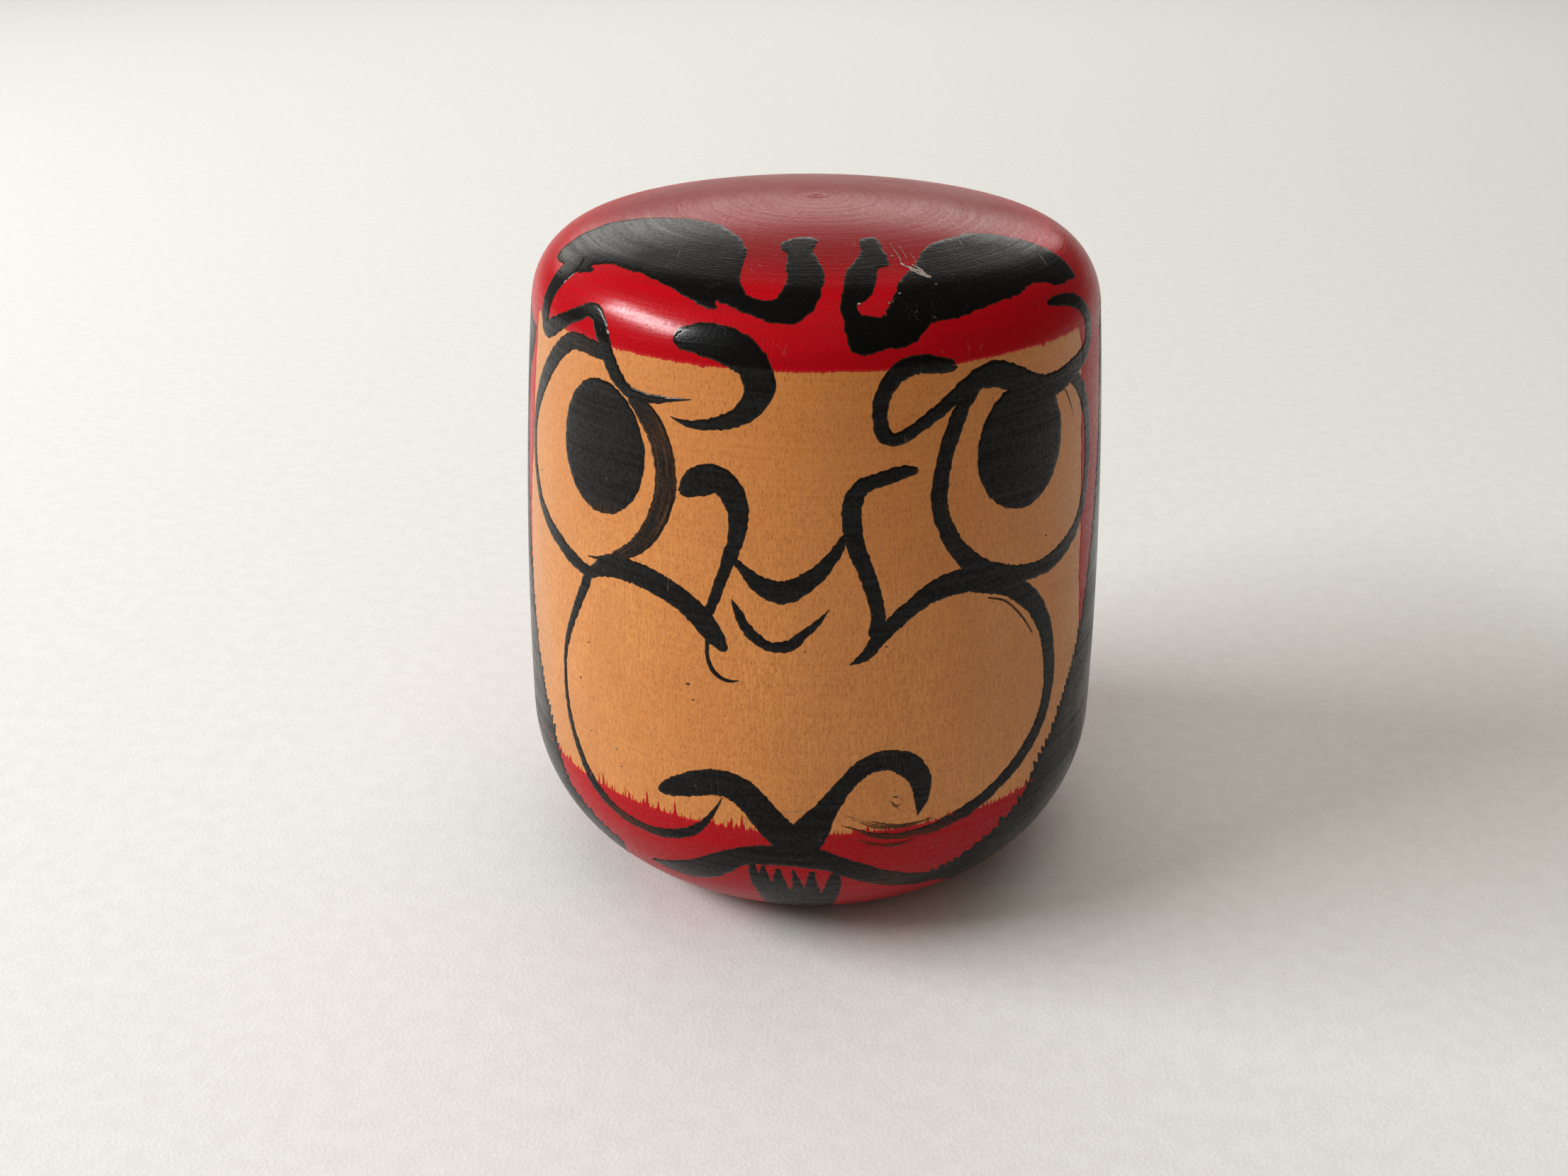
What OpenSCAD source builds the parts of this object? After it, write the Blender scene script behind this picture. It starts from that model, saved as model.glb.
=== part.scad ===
// Turned wooden daruma doll: one lathe-turned block carrying separately applied coats of
// red lacquer and black ink. Millimetres, +Z up, the foot rests on z = 0, the face looks along -Y.
//
// The paint is drawn on a wrapped sheet: a point is [angle, rise]. The angle is in degrees
// round the doll from the middle of the face, positive towards +X. The rise is measured with
// a tape up the outside, from the edge of the flat foot to the crown, on the standard doll.
// A stroke is a list of [angle, rise, breadth] points that a smooth curve runs through.

/* [Turned block] */
// width across the widest ring
body_w = 80; // [64:1:110]
// height from the foot to the crown
body_h = 92; // [76:1:126]
// height of the widest ring above the foot
widest_z = 16; // [10:1:22]
// radius of the long arc that makes the slightly barrelled side
side_r = 600; // [300:10:1200]
// radius of the rounded shoulder
shoulder_r = 9.4; // [7:0.2:14]
// radius of the shallow domed crown
crown_r = 130; // [90:5:200]
// radius of the turned-under lower corner
corner_r = 22; // [14:1:26]
// width of the lathe centre's dimple in the crown
dimple_w = 3; // [1:0.5:6]
// depth of the lathe centre's dimple
dimple_d = 0.4; // [0.2:0.1:1]

/* [Paint] */
// thickness of the red lacquer
coat_t = 0.12; // [0.08:0.01:0.2]
// thickness of the ink above the bare wood, its surface is level over wood and lacquer
ink_t = 0.24; // [0.22:0.01:0.4]
// rise of the ring where the hood meets the face
hood_rise = 93.5; // [90:0.5:97]
// rise of the ring where the face meets the robe
robe_rise = 34.6; // [30:0.5:38]
// rise of the robe's lower edge, just above the foot
hem_rise = 4; // [3:0.5:8]
// angle of the robe's edge beside the face
robe_angle = 65.5; // [62:0.5:70]

/* [Hair] */
// angle of the hair's back edge on both sides
hair_back = 112; // [100:1:125]
// depth of one bristle notch in the hair's outline
notch_d = 1.5; // [0.5:0.1:2.5]
// number of bristle notches between two points of the hair's outline
notches = 2; // [1:1:3]

/* [Beard] */
// number of beard tips that reach up to the mouth
beard_tips = 6; // [4:1:8]
// depth of the gaps between the beard tips
beard_gap = 5; // [3:0.5:7]

/* [Hidden] */
// the standard doll that the paint's rises and breadths are drawn for
sheet_w = 80;
sheet_len = 134.3;
// straight pieces between two points of a stroke, of a patch, of a round stroke end and of an oval
stroke_steps = 3;
patch_steps = 2;
cap_steps = 4;
oval_steps = 36;
// share of a bristle notch's length at which its tip lies
tip_share = 0.45;
// depth of the prism that cuts a painted shape out of a film
cut_from = 12;
cut_len = 120;
// directions on the lower corner and on the crown that the ink film ends at
corner_low = -78;
crown_high = 86;
// length from the axis that always ends outside the doll
reach = body_w;
widest_r = body_w / 2;
side_c = [widest_r - side_r, widest_z];
crown_c = [0, body_h - crown_r];
shoulder_c = crossing(side_c, side_r - shoulder_r, crown_c, crown_r - shoulder_r);
corner_c = [
    side_c.x + sqrt(pow(side_r - corner_r, 2) - pow(corner_r - widest_z, 2)),
    corner_r
];
corner_end = direction(side_c, corner_c);
side_end = direction(side_c, shoulder_c);
shoulder_end = direction(crown_c, shoulder_c);
corner_len = arc_len(corner_r, corner_end + 90);
side_len = arc_len(side_r, side_end - corner_end);
shoulder_len = arc_len(shoulder_r, shoulder_end - side_end);
tape_len = corner_len + side_len + shoulder_len + arc_len(crown_r, 90 - shoulder_end);
rise_k = tape_len / sheet_len;
breadth_k = body_w / sheet_w;
hood_z = outside(hood_rise)[1];
robe_z = outside(robe_rise)[1];
hem_z = outside(hem_rise)[1];
$fn = 96;

lacquer = [0.62, 0.05, 0.09];
ink = [0.07, 0.065, 0.07];
wood = [0.80, 0.56, 0.32];

// The right-hand crossing of two circles.
function crossing(c0, r0, c1, r1) =
    let (
        gap = norm(c1 - c0),
        along = (r0 * r0 - r1 * r1 + gap * gap) / (2 * gap),
        up = sqrt(r0 * r0 - along * along),
        unit = (c1 - c0) / gap,
        foot = c0 + along * unit
    )
    foot + up * [unit.y, -unit.x] * (unit.y > 0 ? 1 : -1);

// Direction in degrees from one point to another.
function direction(from, to) = atan2(to.y - from.y, to.x - from.x);

// Length of an arc.
function arc_len(r, degrees) = r * degrees * PI / 180;

// The point at a distance from c in a direction.
function polar(c, r, a) = [c.x + r * cos(a), c.y + r * sin(a)];

// Degrees turned on an arc of radius r by going the given length along it.
function turned(r, len) = len / r * 180 / PI;

// Radius and height of the outside at a given rise.
function outside(rise) =
    let (
        t = rise * rise_k,
        t_side = t - corner_len,
        t_shoulder = t_side - side_len,
        t_crown = t_shoulder - shoulder_len
    )
    t_side < 0 ? polar(corner_c, corner_r, turned(corner_r, t) - 90)
    : t_shoulder < 0 ? polar(side_c, side_r, corner_end + turned(side_r, t_side))
    : t_crown < 0 ? polar(shoulder_c, shoulder_r, side_end + turned(shoulder_r, t_shoulder))
    : polar(crown_c, crown_r, shoulder_end + turned(crown_r, t_crown));

// Millimetres along the outside for one degree at a given rise.
function per_degree(rise) = outside(rise)[0] * PI / 180;

// Smooth curve through four neighbouring points, at share u from the second to the third.
function curve(a, b, c, d, u) =
    0.5 * (2 * b + (c - a) * u + (2 * a - 5 * b + 4 * c - d) * u * u
    + (3 * b - a - 3 * c + d) * u * u * u);

// All the points of an open smooth curve.
function open_curve(p) =
    let (last = len(p) - 1)
    [
        for (i = [0 : last - 1])
        for (j = [0 : stroke_steps - 1])
        curve(p[max(i - 1, 0)], p[i], p[i + 1], p[min(i + 2, last)], j / stroke_steps),
        p[last]
    ];

// All the points of a closed smooth curve.
function closed_curve(p) =
    let (n = len(p))
    [
        for (i = [0 : n - 1])
        for (j = [0 : patch_steps - 1])
        curve(p[(i + n - 1) % n], p[i], p[(i + 1) % n], p[(i + 2) % n], j / patch_steps)
    ];

// Direction of travel along a curve at its i-th point, in degrees on the doll's outside.
function travel(p, i) =
    let (
        a = p[max(i - 1, 0)],
        b = p[min(i + 1, len(p) - 1)]
    )
    atan2((b[1] - a[1]) * rise_k, (b[0] - a[0]) * per_degree(p[i][1]));

// The point of the sheet a breadth away from a stroke's point, in a direction on the outside.
function beside(point, a) =
    let (half = point[2] * breadth_k / 2)
    [
        point[0] + half * cos(a) / per_degree(point[1]),
        point[1] + half * sin(a) / rise_k
    ];

// Outline of a brush stroke with round ends.
function stroke(points) =
    let (
        p = open_curve(points),
        n = len(p) - 1,
        out = travel(p, n),
        back = travel(p, 0)
    )
    concat(
        [for (i = [0 : n]) beside(p[i], travel(p, i) + 90)],
        [for (j = [1 : cap_steps - 1]) beside(p[n], out + 90 - 180 * j / cap_steps)],
        [for (i = [n : -1 : 0]) beside(p[i], travel(p, i) - 90)],
        [for (j = [1 : cap_steps - 1]) beside(p[0], back - 90 - 180 * j / cap_steps)]
    );

// Outline with saw-tooth bristle notches between its points, pointing left of the way it runs.
function bristled(p) =
    let (n = len(p))
    [
        for (i = [0 : n - 2])
        let (
            a = p[i],
            b = p[i + 1],
            way = atan2(b[1] - a[1], (b[0] - a[0]) * per_degree(a[1])) + 90
        )
        for (j = [0 : notches - 1])
        for (tip = [0, 1])
        let (
            at = a + (b - a) * (j + tip * tip_share) / notches,
            out = tip * notch_d
        )
        [at[0] + out * cos(way) / per_degree(at[1]), at[1] + out * sin(way) / rise_k],
        p[n - 1]
    ];

// A sheet point laid on the plane that faces the direction [azimuth, tilt].
function facing(point, azimuth, tilt) =
    let (
        rz = outside(point[1]),
        turn = point[0] - azimuth,
        forward = rz[0] * cos(turn)
    )
    [rz[0] * sin(turn), rz[1] * cos(tilt) - forward * sin(tilt)];

// A whole outline laid on that plane.
function laid(points, azimuth, tilt) = [for (p = points) facing(p, azimuth, tilt)];

// Right half of the turned outline with the crown's dimple, grown outwards by t.
module half_outline(t) {
    difference() {
        intersection() {
            translate(side_c) circle(side_r + t);
            translate(crown_c) circle(crown_r + t);
            square([body_w, body_h + t]);
        }
        rounding_room(shoulder_c, side_end, shoulder_end);
        rounding_room(corner_c, -90, corner_end);
        translate([0, body_h + t - dimple_d])
        polygon([[0, 0], [dimple_w / 2, dimple_d], [dimple_w / 2, 1], [0, 1]]);
    }
    translate(shoulder_c) circle(shoulder_r + t);
    intersection() {
        translate(corner_c) circle(corner_r + t);
        square([body_w, body_h]);
    }
}

// Wedge outside an arc's centre, cleared so that the arc can round the corner off.
module rounding_room(c, a0, a1) {
    polygon([
        c,
        polar(c, reach, a0),
        polar(c, reach * 2, (a0 + a1) / 2),
        polar(c, reach, a1)
    ]);
}

// Half outline of a film that lies between two thicknesses above the wood.
module film_outline(t0, t1, low, high) {
    intersection() {
        difference() {
            half_outline(t1);
            half_outline(t0);
        }
        translate([0, low]) square([body_w, high - low]);
    }
}

// Film right round the doll.
module film(t0, t1, low, high) {
    rotate_extrude() film_outline(t0, t1, low, high);
}

// Curved band that follows an arc of the outline, between two thicknesses above it.
module band(c, r, a0, a1, t0, t1) {
    intersection() {
        translate(c)
        difference() {
            circle(r + t1);
            circle(r + t0);
        }
        polygon([
            c,
            polar(c, (r + t1) * 2, a0),
            polar(c, (r + t1) * 3, (a0 + a1) / 2),
            polar(c, (r + t1) * 2, a1)
        ]);
    }
}

// The outline's arcs from the lower corner to above the brows, each with its centre, radius,
// first direction and last direction.
ink_arcs = [
    [corner_c, corner_r, corner_low, corner_end],
    [side_c, side_r, corner_end, side_end],
    [shoulder_c, shoulder_r, side_end, shoulder_end],
    [crown_c, crown_r, shoulder_end, crown_high]
];

// The stretches of the outline that an ink film is turned in: each lists its arcs.
low_side = [[0, 1]];
side_only = [[1]];
side_shoulder = [[1], [2]];
whole_side = [[0, 1], [2]];
shoulder_crown = [[2], [3]];

// Film of ink that follows neighbouring arcs right round the doll.
module ink_ring(arcs, t0) {
    rotate_extrude()
    for (i = arcs)
    let (arc = ink_arcs[i])
    band(arc[0], arc[1], arc[2], arc[3], t0, ink_t);
}

// Prism that looks outwards along [azimuth, tilt] with its outline in the facing plane.
module prism(azimuth, tilt) {
    rotate([0, 0, azimuth])
    rotate([90 - tilt, 0, 0])
    translate([0, 0, cut_from])
    linear_extrude(cut_len)
    children();
}

// Ink straight on the wood, on lacquer only, or across both, along the given stretches.
module ink_on_wood(azimuth, tilt, stretches) {
    for (arcs = stretches)
    intersection() {
        ink_ring(arcs, 0);
        prism(azimuth, tilt) children();
    }
}

module ink_on_lacquer(azimuth, tilt, stretches) {
    for (arcs = stretches)
    intersection() {
        ink_ring(arcs, coat_t);
        prism(azimuth, tilt) children();
    }
}

module ink_on_both(azimuth, tilt, stretches) {
    intersection() {
        ink_on_wood(azimuth, tilt, stretches) children();
        face_opening();
    }
    difference() {
        ink_on_lacquer(azimuth, tilt, stretches) children();
        face_opening();
    }
}

// Azimuths and tilts of the directions that the groups of strokes face.
left_az = -42;
right_az = 42;
cheek_tilt = 10;
brow_az = 36;
brow_tilt = 58;
nose_tilt = 2;
fold_az = -12;
fold_tilt = 20;
mouth_tilt = -24;
hair_az = 76;
hair_tilt = -8;

brow_left_edge = [
    [-76.5, 107.5], [-75, 110.5], [-70, 113.5], [-63, 115.7], [-55, 117.2], [-45, 117.8],
    [-38, 117.6], [-30, 116.6], [-24, 115.2], [-19.5, 113.5], [-17, 112], [-15.5, 110],
    [-14, 107], [-12, 104], [-10, 102.4], [-7, 101.8], [-4.2, 101.9], [-2.8, 104],
    [-2.6, 106], [-3.5, 109], [-5, 112], [-7, 113.2], [-8, 115], [-7.3, 116], [-4, 117],
    [0, 117.3], [3, 117], [5, 116], [3.6, 114], [4, 112], [5.2, 110], [6.1, 108],
    [5.7, 104.5], [4.5, 101.5], [3, 100], [1, 99], [-2, 98.8], [-6, 99.2], [-10, 99.9],
    [-15.3, 101], [-14.7, 100], [-18, 100.1], [-25, 101.6], [-30, 102.4], [-35, 103],
    [-42, 103.1], [-47, 103], [-51.5, 101.9], [-49.6, 101.2], [-53, 100.3], [-57, 100.2],
    [-62, 100], [-67, 100], [-70, 101], [-72, 103.5], [-75, 106]
];

brow_right_edge = [
    [19, 114.7], [20, 115.7], [22, 116.4], [25, 116.5], [27, 116.2], [27, 115],
    [25.5, 113], [25, 111.5], [24, 109.5], [23, 108.8], [20.5, 108.2], [19, 107],
    [17.5, 105], [16, 103], [14, 101.8], [12.5, 101.2], [12.5, 100.2], [14, 99.8],
    [17, 99.6], [18, 100.6], [20, 102.4], [22, 104.3], [24.5, 105.8], [27, 107],
    [30, 108.3], [33, 109.8], [37, 111.3], [41, 112.3], [46, 112.8], [52, 113],
    [58, 112.8], [63, 112.3], [67, 111], [70, 109], [72, 106.5], [71.5, 103],
    [71, 100.5], [70, 99], [66, 98.9], [60, 99.2], [58.5, 99.8], [55, 100.5],
    [52, 100.4], [48, 99.9], [42, 99.5], [36, 99], [30, 98.4], [26, 98.3], [24, 97.4],
    [22, 96.4], [20, 95.9], [17, 95.8], [13, 95.3], [11, 95.6], [10, 96.2], [9.3, 98],
    [9, 99.5], [8.6, 100.3], [9, 102], [10, 104.5], [11, 106.8], [12.5, 108.8],
    [15, 110.5], [17.5, 112.5]
];

temple_left_line = [
    [-58, 100.5, 4.2], [-59.2, 97.5, 3.4], [-59.6, 94.5, 2.8], [-59.4, 92.7, 2.4]
];

lid_left_line = [
    [-59.4, 92.3, 2.1], [-57.5, 92.3, 2.3], [-55, 93, 2.2], [-50.5, 94.5, 1.9],
    [-46.5, 95.8, 1.8], [-43.3, 96.8, 1.9],
    [-40.4, 96.4, 2], [-38, 94.4, 2.2], [-36.4, 92.3, 2.2], [-34.3, 90.5, 2.1],
    [-31.2, 89, 1.6], [-27.5, 88.6, 1.3], [-23.5, 88.9, 0.8], [-18, 89.4, 0.2]
];

rim_left_line = [
    [-38.6, 92.6, 2], [-43, 92.8, 2.1], [-47, 92.6, 2.2], [-50.3, 91.4, 2.3],
    [-53.8, 89.5, 2.4], [-57.6, 86.8, 2.5], [-60.7, 84, 2.3], [-63.2, 81, 1.8],
    [-64.3, 78, 1.5], [-63.9, 75, 1.5], [-62.2, 72, 1.6], [-59.8, 69.8, 1.8],
    [-57, 68.3, 2], [-53.5, 67.1, 2.1], [-50, 66.2, 2.1], [-46, 65.3, 2],
    [-42, 64.7, 1.7], [-39.5, 65, 1.3]
];

fold_left_line = [
    [-30, 88.2, 1.6], [-27.4, 87, 2.6], [-24.8, 85, 2.8], [-23.2, 82.5, 2.9],
    [-22.6, 79.5, 2.9], [-23.1, 76.6, 2.8], [-24.9, 73.7, 2.7], [-27.3, 71.3, 2.3],
    [-30.7, 69.3, 1.8], [-34, 68, 1.2], [-37.5, 67.1, 0.6], [-41, 66.6, 0.2]
];

crease_line = [
    [-19.5, 96.2, 2.8], [-17, 96.4, 3.6], [-13, 96.1, 4.1], [-9.5, 95.4, 4.2],
    [-6.7, 94, 3.9], [-5.4, 92, 3.7], [-6.2, 90, 3], [-9.2, 88.1, 2.2],
    [-13, 87.1, 1.6], [-17, 86.6, 1.1], [-20, 86.8, 0.6], [-21.8, 87.1, 0.2]
];

nostril_left_line = [
    [-17.6, 79.4, 2.9], [-15.8, 80.1, 3.7], [-13, 80.6, 3.4], [-10.6, 79.6, 3.2],
    [-9, 77.5, 2.7], [-8.8, 75, 2.2], [-9.7, 72.4, 1.9], [-10.8, 70.2, 1.7],
    [-12.3, 67.3, 1.5], [-13.8, 64.3, 1.3]
];

nostril_right_line = [
    [21.3, 81.8, 1.3], [19, 81.7, 1.8], [15.5, 81.1, 1.7], [12.3, 80.2, 2],
    [10.9, 78.4, 2.3], [10.7, 76.2, 2.4], [11.4, 73.6, 2.2], [13, 70.6, 2],
    [14.6, 67.6, 1.9], [15.5, 64.6, 1.8], [15.4, 62.2, 2]
];

nose_tip_line = [
    [-9.2, 71, 0.9], [-7.4, 69.7, 1.5], [-5, 68.4, 2.2], [-2.2, 67.6, 2.8],
    [0.3, 67.7, 2.8], [3, 68.8, 2.4], [5.5, 70.3, 2], [7.8, 72.2, 1.5], [9.7, 74.4, 1]
];

lip_curve = [
    [-9.8, 66.1, 0.2], [-9, 64.9, 0.9], [-7.2, 62.7, 1.4], [-5, 61.2, 1.5],
    [-2.5, 60.5, 1.4], [0.3, 60.8, 1.5], [2.5, 62, 1.2], [4.8, 63.5, 0.9],
    [7.1, 65.5, 0.2]
];

cheek_left_top = [
    [-40.5, 64.3, 1], [-37.5, 65.8, 2.3], [-34, 66.7, 2.9], [-30, 66.9, 3.1],
    [-26, 66.6, 3.1], [-22, 65.8, 3], [-18.5, 64.7, 3], [-15.4, 63, 3],
    [-13, 61.1, 2.6], [-11.4, 59.8, 1.4]
];

cheek_left_side = [
    [-40.6, 64.6, 1.6], [-42.2, 62.1, 1.6], [-44.8, 58.6, 1.4], [-47.2, 55, 1.2],
    [-48.8, 51.5, 0.9], [-49.3, 48, 0.9], [-48.9, 44.5, 1], [-47.6, 41, 1.2],
    [-45.3, 37.9, 1.4], [-42.1, 35, 1.6], [-38.3, 32.9, 1.6], [-34, 31.5, 1.5],
    [-29, 30.9, 1.4], [-25, 31, 1.5], [-21.3, 31.6, 1.5], [-17.9, 32.9, 1.4],
    [-15.2, 34.6, 1.1], [-13.1, 36.7, 0.6], [-11.6, 38.9, 0.2]
];

tick_line = [
    [-14.3, 60.6, 0.6], [-14.2, 58.2, 0.6], [-13.3, 56.6, 0.7], [-11.8, 55.7, 0.6],
    [-10.2, 55.4, 0.5], [-8.6, 55.6, 0.2]
];

lid_right_line = [
    [28.4, 93.4, 1.4], [26.3, 93.6, 2], [22.5, 94, 2.2], [18.7, 93.2, 2.3],
    [16.3, 91.2, 2.1], [15.5, 88.8, 1.8], [16, 86.6, 1.9], [18, 85.6, 1.6],
    [21, 86.3, 1.6], [24.5, 87.7, 1.7], [28, 89.2, 1.8], [31.5, 90.6, 2.2],
    [35, 91.5, 2.8], [38.5, 91.5, 3.1], [42, 90.6, 3.1], [46, 89.3, 3.1],
    [50, 88.4, 3.1], [54, 88.2, 3], [58, 88.5, 2.8], [62, 89.1, 2.6],
    [66.3, 89.9, 2.4], [68.5, 91.2, 2.3], [68.6, 93.3, 2.3], [66.8, 95.3, 2.3],
    [64, 96.6, 2], [60.5, 97.3, 1.6], [57.3, 97.6, 1.3], [55, 97.7, 0.8]
];

rim_right_line = [
    [33.5, 90, 1.2], [31, 88.4, 1.9], [29, 85.8, 2.1], [27.5, 82.8, 2.1],
    [26.6, 79.8, 2.2], [26.6, 77, 2.2], [27.8, 74.3, 2.2], [29.8, 71.9, 2.3],
    [32.4, 69.8, 2.5], [35.5, 68.2, 2.6], [39.5, 67, 2.4], [43.5, 66.2, 2.2],
    [48, 65.7, 2.2], [53, 65.7, 2.4], [57, 66.3, 2.4], [61, 67.4, 2.2],
    [64.3, 69.2, 2], [66.4, 71.7, 2], [67.7, 75, 2.1], [67.9, 78.5, 2.2],
    [67.1, 82, 2.2], [65, 85.1, 2.2], [62.3, 87.2, 2], [59.5, 88.2, 1.5]
];

cheek_right_line = [
    [10.9, 58.3, 0.3], [13.5, 59.4, 1.5], [15.8, 61.3, 1.9], [18, 63, 2.1],
    [21, 64.7, 2.2], [25, 66.5, 2.6], [29, 67.2, 3.2], [33, 67.2, 3.1],
    [37, 66.3, 3], [41.5, 65.1, 2.9], [46.3, 62.7, 2.9], [50, 59.7, 2.8],
    [52.7, 56, 2.7], [53.9, 52.3, 2.6], [54.4, 49.5, 2.5], [53.8, 46.3, 2.4],
    [52, 43.4, 2.4], [49, 40.9, 2.3], [45, 38.8, 2.1], [40.5, 36.9, 1.9],
    [35.5, 35.3, 1.9], [30, 34.2, 1.7], [25, 33.5, 1.4], [20, 33.5, 1.2],
    [16, 34.1, 0.9], [12.5, 35.1, 0.5], [10, 35.8, 0.2]
];

mouth_left_line = [
    [-23, 38.2, 2], [-20.8, 39, 2.8], [-17, 40.1, 3.5], [-13, 40.9, 3.8],
    [-9.5, 40.7, 3.9], [-6.4, 39.1, 4], [-3.6, 36.8, 4], [-0.8, 34.6, 4.2],
    [2, 32.3, 4.5]
];

mouth_right_line = [
    [23.9, 36.2, 0.3], [24.6, 38.3, 2], [24.3, 41, 2.9], [22.3, 43.4, 3.2],
    [18.5, 44.8, 3], [14.6, 44.4, 2.6], [11.6, 42.8, 2.3], [9.3, 40.6, 2.4],
    [6.9, 38, 3.2], [4.6, 35.4, 4.4], [2.3, 32.6, 5]
];

mouth_bar_line = [
    [-27.9, 23.7, 1.4], [-25, 23.8, 2.7], [-20.5, 24.6, 3.9], [-16, 26.2, 4.2],
    [-12.3, 28.3, 3.8], [-8.5, 30.1, 3.2], [-4, 30.8, 3.5], [0, 31, 3.5],
    [4.5, 30.8, 3.7], [8, 29.9, 3.2], [11, 28.8, 3.2], [14, 27.6, 3.3],
    [17, 26.4, 3.3], [20, 25.4, 3.3], [24, 24.2, 3.3], [28.5, 23.2, 3.2]
];

// Front edge and lower edge of the hair beside the face. The right-hand hair is given as its
// mirror image, with its angles on the left.
hair_left_front = [
    [-66, 91], [-67, 88], [-71, 84], [-71.5, 76], [-70, 68], [-68.5, 60], [-66, 52],
    [-63, 46], [-59, 40.5], [-54.5, 35.5], [-50.5, 30.5], [-44, 27], [-36, 24]
];
hair_left_under = [[-41, 18.5], [-50, 14], [-62, 14], [-75, 17], [-90, 19]];

hair_right_front = [
    [-80, 92], [-79, 86], [-77, 76], [-74, 67], [-71.5, 61], [-68, 54], [-65, 49.5],
    [-60, 44], [-56, 40], [-51, 36], [-47.5, 32.5], [-42, 29.5], [-35, 26.5], [-30.5, 25]
];
hair_right_under = [[-33.5, 20.5], [-40, 16.5], [-50, 14], [-62, 14], [-75, 17], [-90, 19]];

// Lean, waves and ends of the hair's back edge.
hair_lean = 18;
hair_wave = 3;
back_waves = 2.5;
back_steps = 15;
hair_top = 95;
hair_low = 24;

// Middle and half size of each oval pupil, as an angle and a rise.
pupil_left_middle = [-37.8, 81.2];
pupil_left_half = [10.8, 8.2];
pupil_right_middle = [45.1, 82.2];
pupil_right_half = [11.1, 7.8];

// Beard: half angle of its row of tips, angle of its middle, rises of its top, of its
// shoulders and of its lower end, and the angles of its outer edges from its middle.
beard_side = 7;
beard_shift = 1.6;
beard_top = 28.8;
beard_shoulder = 22.8;
beard_low = 9;
beard_right = 8.4;
beard_left_top = -7.7;
beard_left_low = -6.3;

// Solid lathe-turned block with the lathe centre's dimple on top and a flat foot.
module block() {
    color(wood)
    rotate_extrude() half_outline(0);
}

// Red coat of the whole top, down to the ring above the face.
module hood() {
    color(lacquer)
    film(0, coat_t, hood_z, body_h + coat_t);
}

// Red coat below the face and right round the sides and back.
module robe() {
    color(lacquer)
    difference() {
        film(0, coat_t, hem_z, hood_z);
        face_opening();
    }
}

// The wedge of the face that the robe leaves bare, between its two rings.
module face_opening() {
    translate([0, 0, robe_z])
    linear_extrude(hood_z - robe_z)
    polygon([
        [0, 0],
        [-reach * tan(robe_angle), -reach],
        [reach * tan(robe_angle), -reach]
    ]);
}

// A sheet outline, or a stroke, laid on the plane that faces a direction.
module drawn(edge, azimuth, tilt) {
    polygon(laid(edge, azimuth, tilt));
}

module painted_stroke(line, azimuth, tilt) {
    drawn(stroke(line), azimuth, tilt);
}

// Brows, each a patch with a hook at its inner end.
module brow_left() {
    color(ink)
    ink_on_lacquer(-brow_az, brow_tilt, shoulder_crown)
    drawn(closed_curve(brow_left_edge), -brow_az, brow_tilt);
}

module brow_right() {
    color(ink)
    ink_on_lacquer(brow_az, brow_tilt, shoulder_crown)
    drawn(closed_curve(brow_right_edge), brow_az, brow_tilt);
}

module eye_outline_left() {
    painted_stroke(temple_left_line, left_az, cheek_tilt);
    painted_stroke(lid_left_line, left_az, cheek_tilt);
    painted_stroke(rim_left_line, left_az, cheek_tilt);
    painted_stroke(fold_left_line, left_az, cheek_tilt);
}

module eye_outline_right() {
    painted_stroke(lid_right_line, right_az, cheek_tilt);
    painted_stroke(rim_right_line, right_az, cheek_tilt);
}

// Temple, lid, rim and fold round the left eye.
module eye_line_left() {
    color(ink)
    difference() {
        ink_on_both(left_az, cheek_tilt, side_shoulder) eye_outline_left();
        prism(-brow_az, brow_tilt)
        drawn(closed_curve(brow_left_edge), -brow_az, brow_tilt);
    }
}

// Lid, temple and rim round the right eye.
module eye_line_right() {
    color(ink)
    ink_on_both(right_az, cheek_tilt, side_shoulder) eye_outline_right();
}

// Oval pupil, cut back where a lid line was painted over it.
module pupil(azimuth, middle, half) {
    drawn(
        [
            for (i = [0 : oval_steps - 1])
            let (a = i * 360 / oval_steps)
            middle + [half.x * cos(a), half.y * sin(a)]
        ],
        azimuth,
        cheek_tilt
    );
}

// Left pupil, a little lower and nearer the nose than the right one.
module pupil_left() {
    color(ink)
    ink_on_wood(left_az, cheek_tilt, side_only)
    difference() {
        pupil(left_az, pupil_left_middle, pupil_left_half);
        eye_outline_left();
    }
}

// Right pupil.
module pupil_right() {
    color(ink)
    ink_on_wood(right_az, cheek_tilt, side_only)
    difference() {
        pupil(right_az, pupil_right_middle, pupil_right_half);
        eye_outline_right();
    }
}

// Hooked frown line beside the left eye.
module crease_left() {
    color(ink)
    ink_on_both(fold_az, fold_tilt, side_shoulder)
    painted_stroke(crease_line, fold_az, fold_tilt);
}

module cheek_outline_left() {
    painted_stroke(cheek_left_top, left_az, cheek_tilt);
    painted_stroke(cheek_left_side, left_az, cheek_tilt);
    painted_stroke(tick_line, left_az, cheek_tilt);
}

module cheek_outline_right() {
    painted_stroke(cheek_right_line, right_az, cheek_tilt);
}

// Loop and tick of the left cheek, ending where the eye's lines begin.
module cheek_left() {
    color(ink)
    ink_on_both(left_az, cheek_tilt, low_side)
    difference() {
        cheek_outline_left();
        eye_outline_left();
    }
}

// Loop of the right cheek.
module cheek_right() {
    color(ink)
    ink_on_both(right_az, cheek_tilt, low_side)
    difference() {
        cheek_outline_right();
        eye_outline_right();
    }
}

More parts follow.
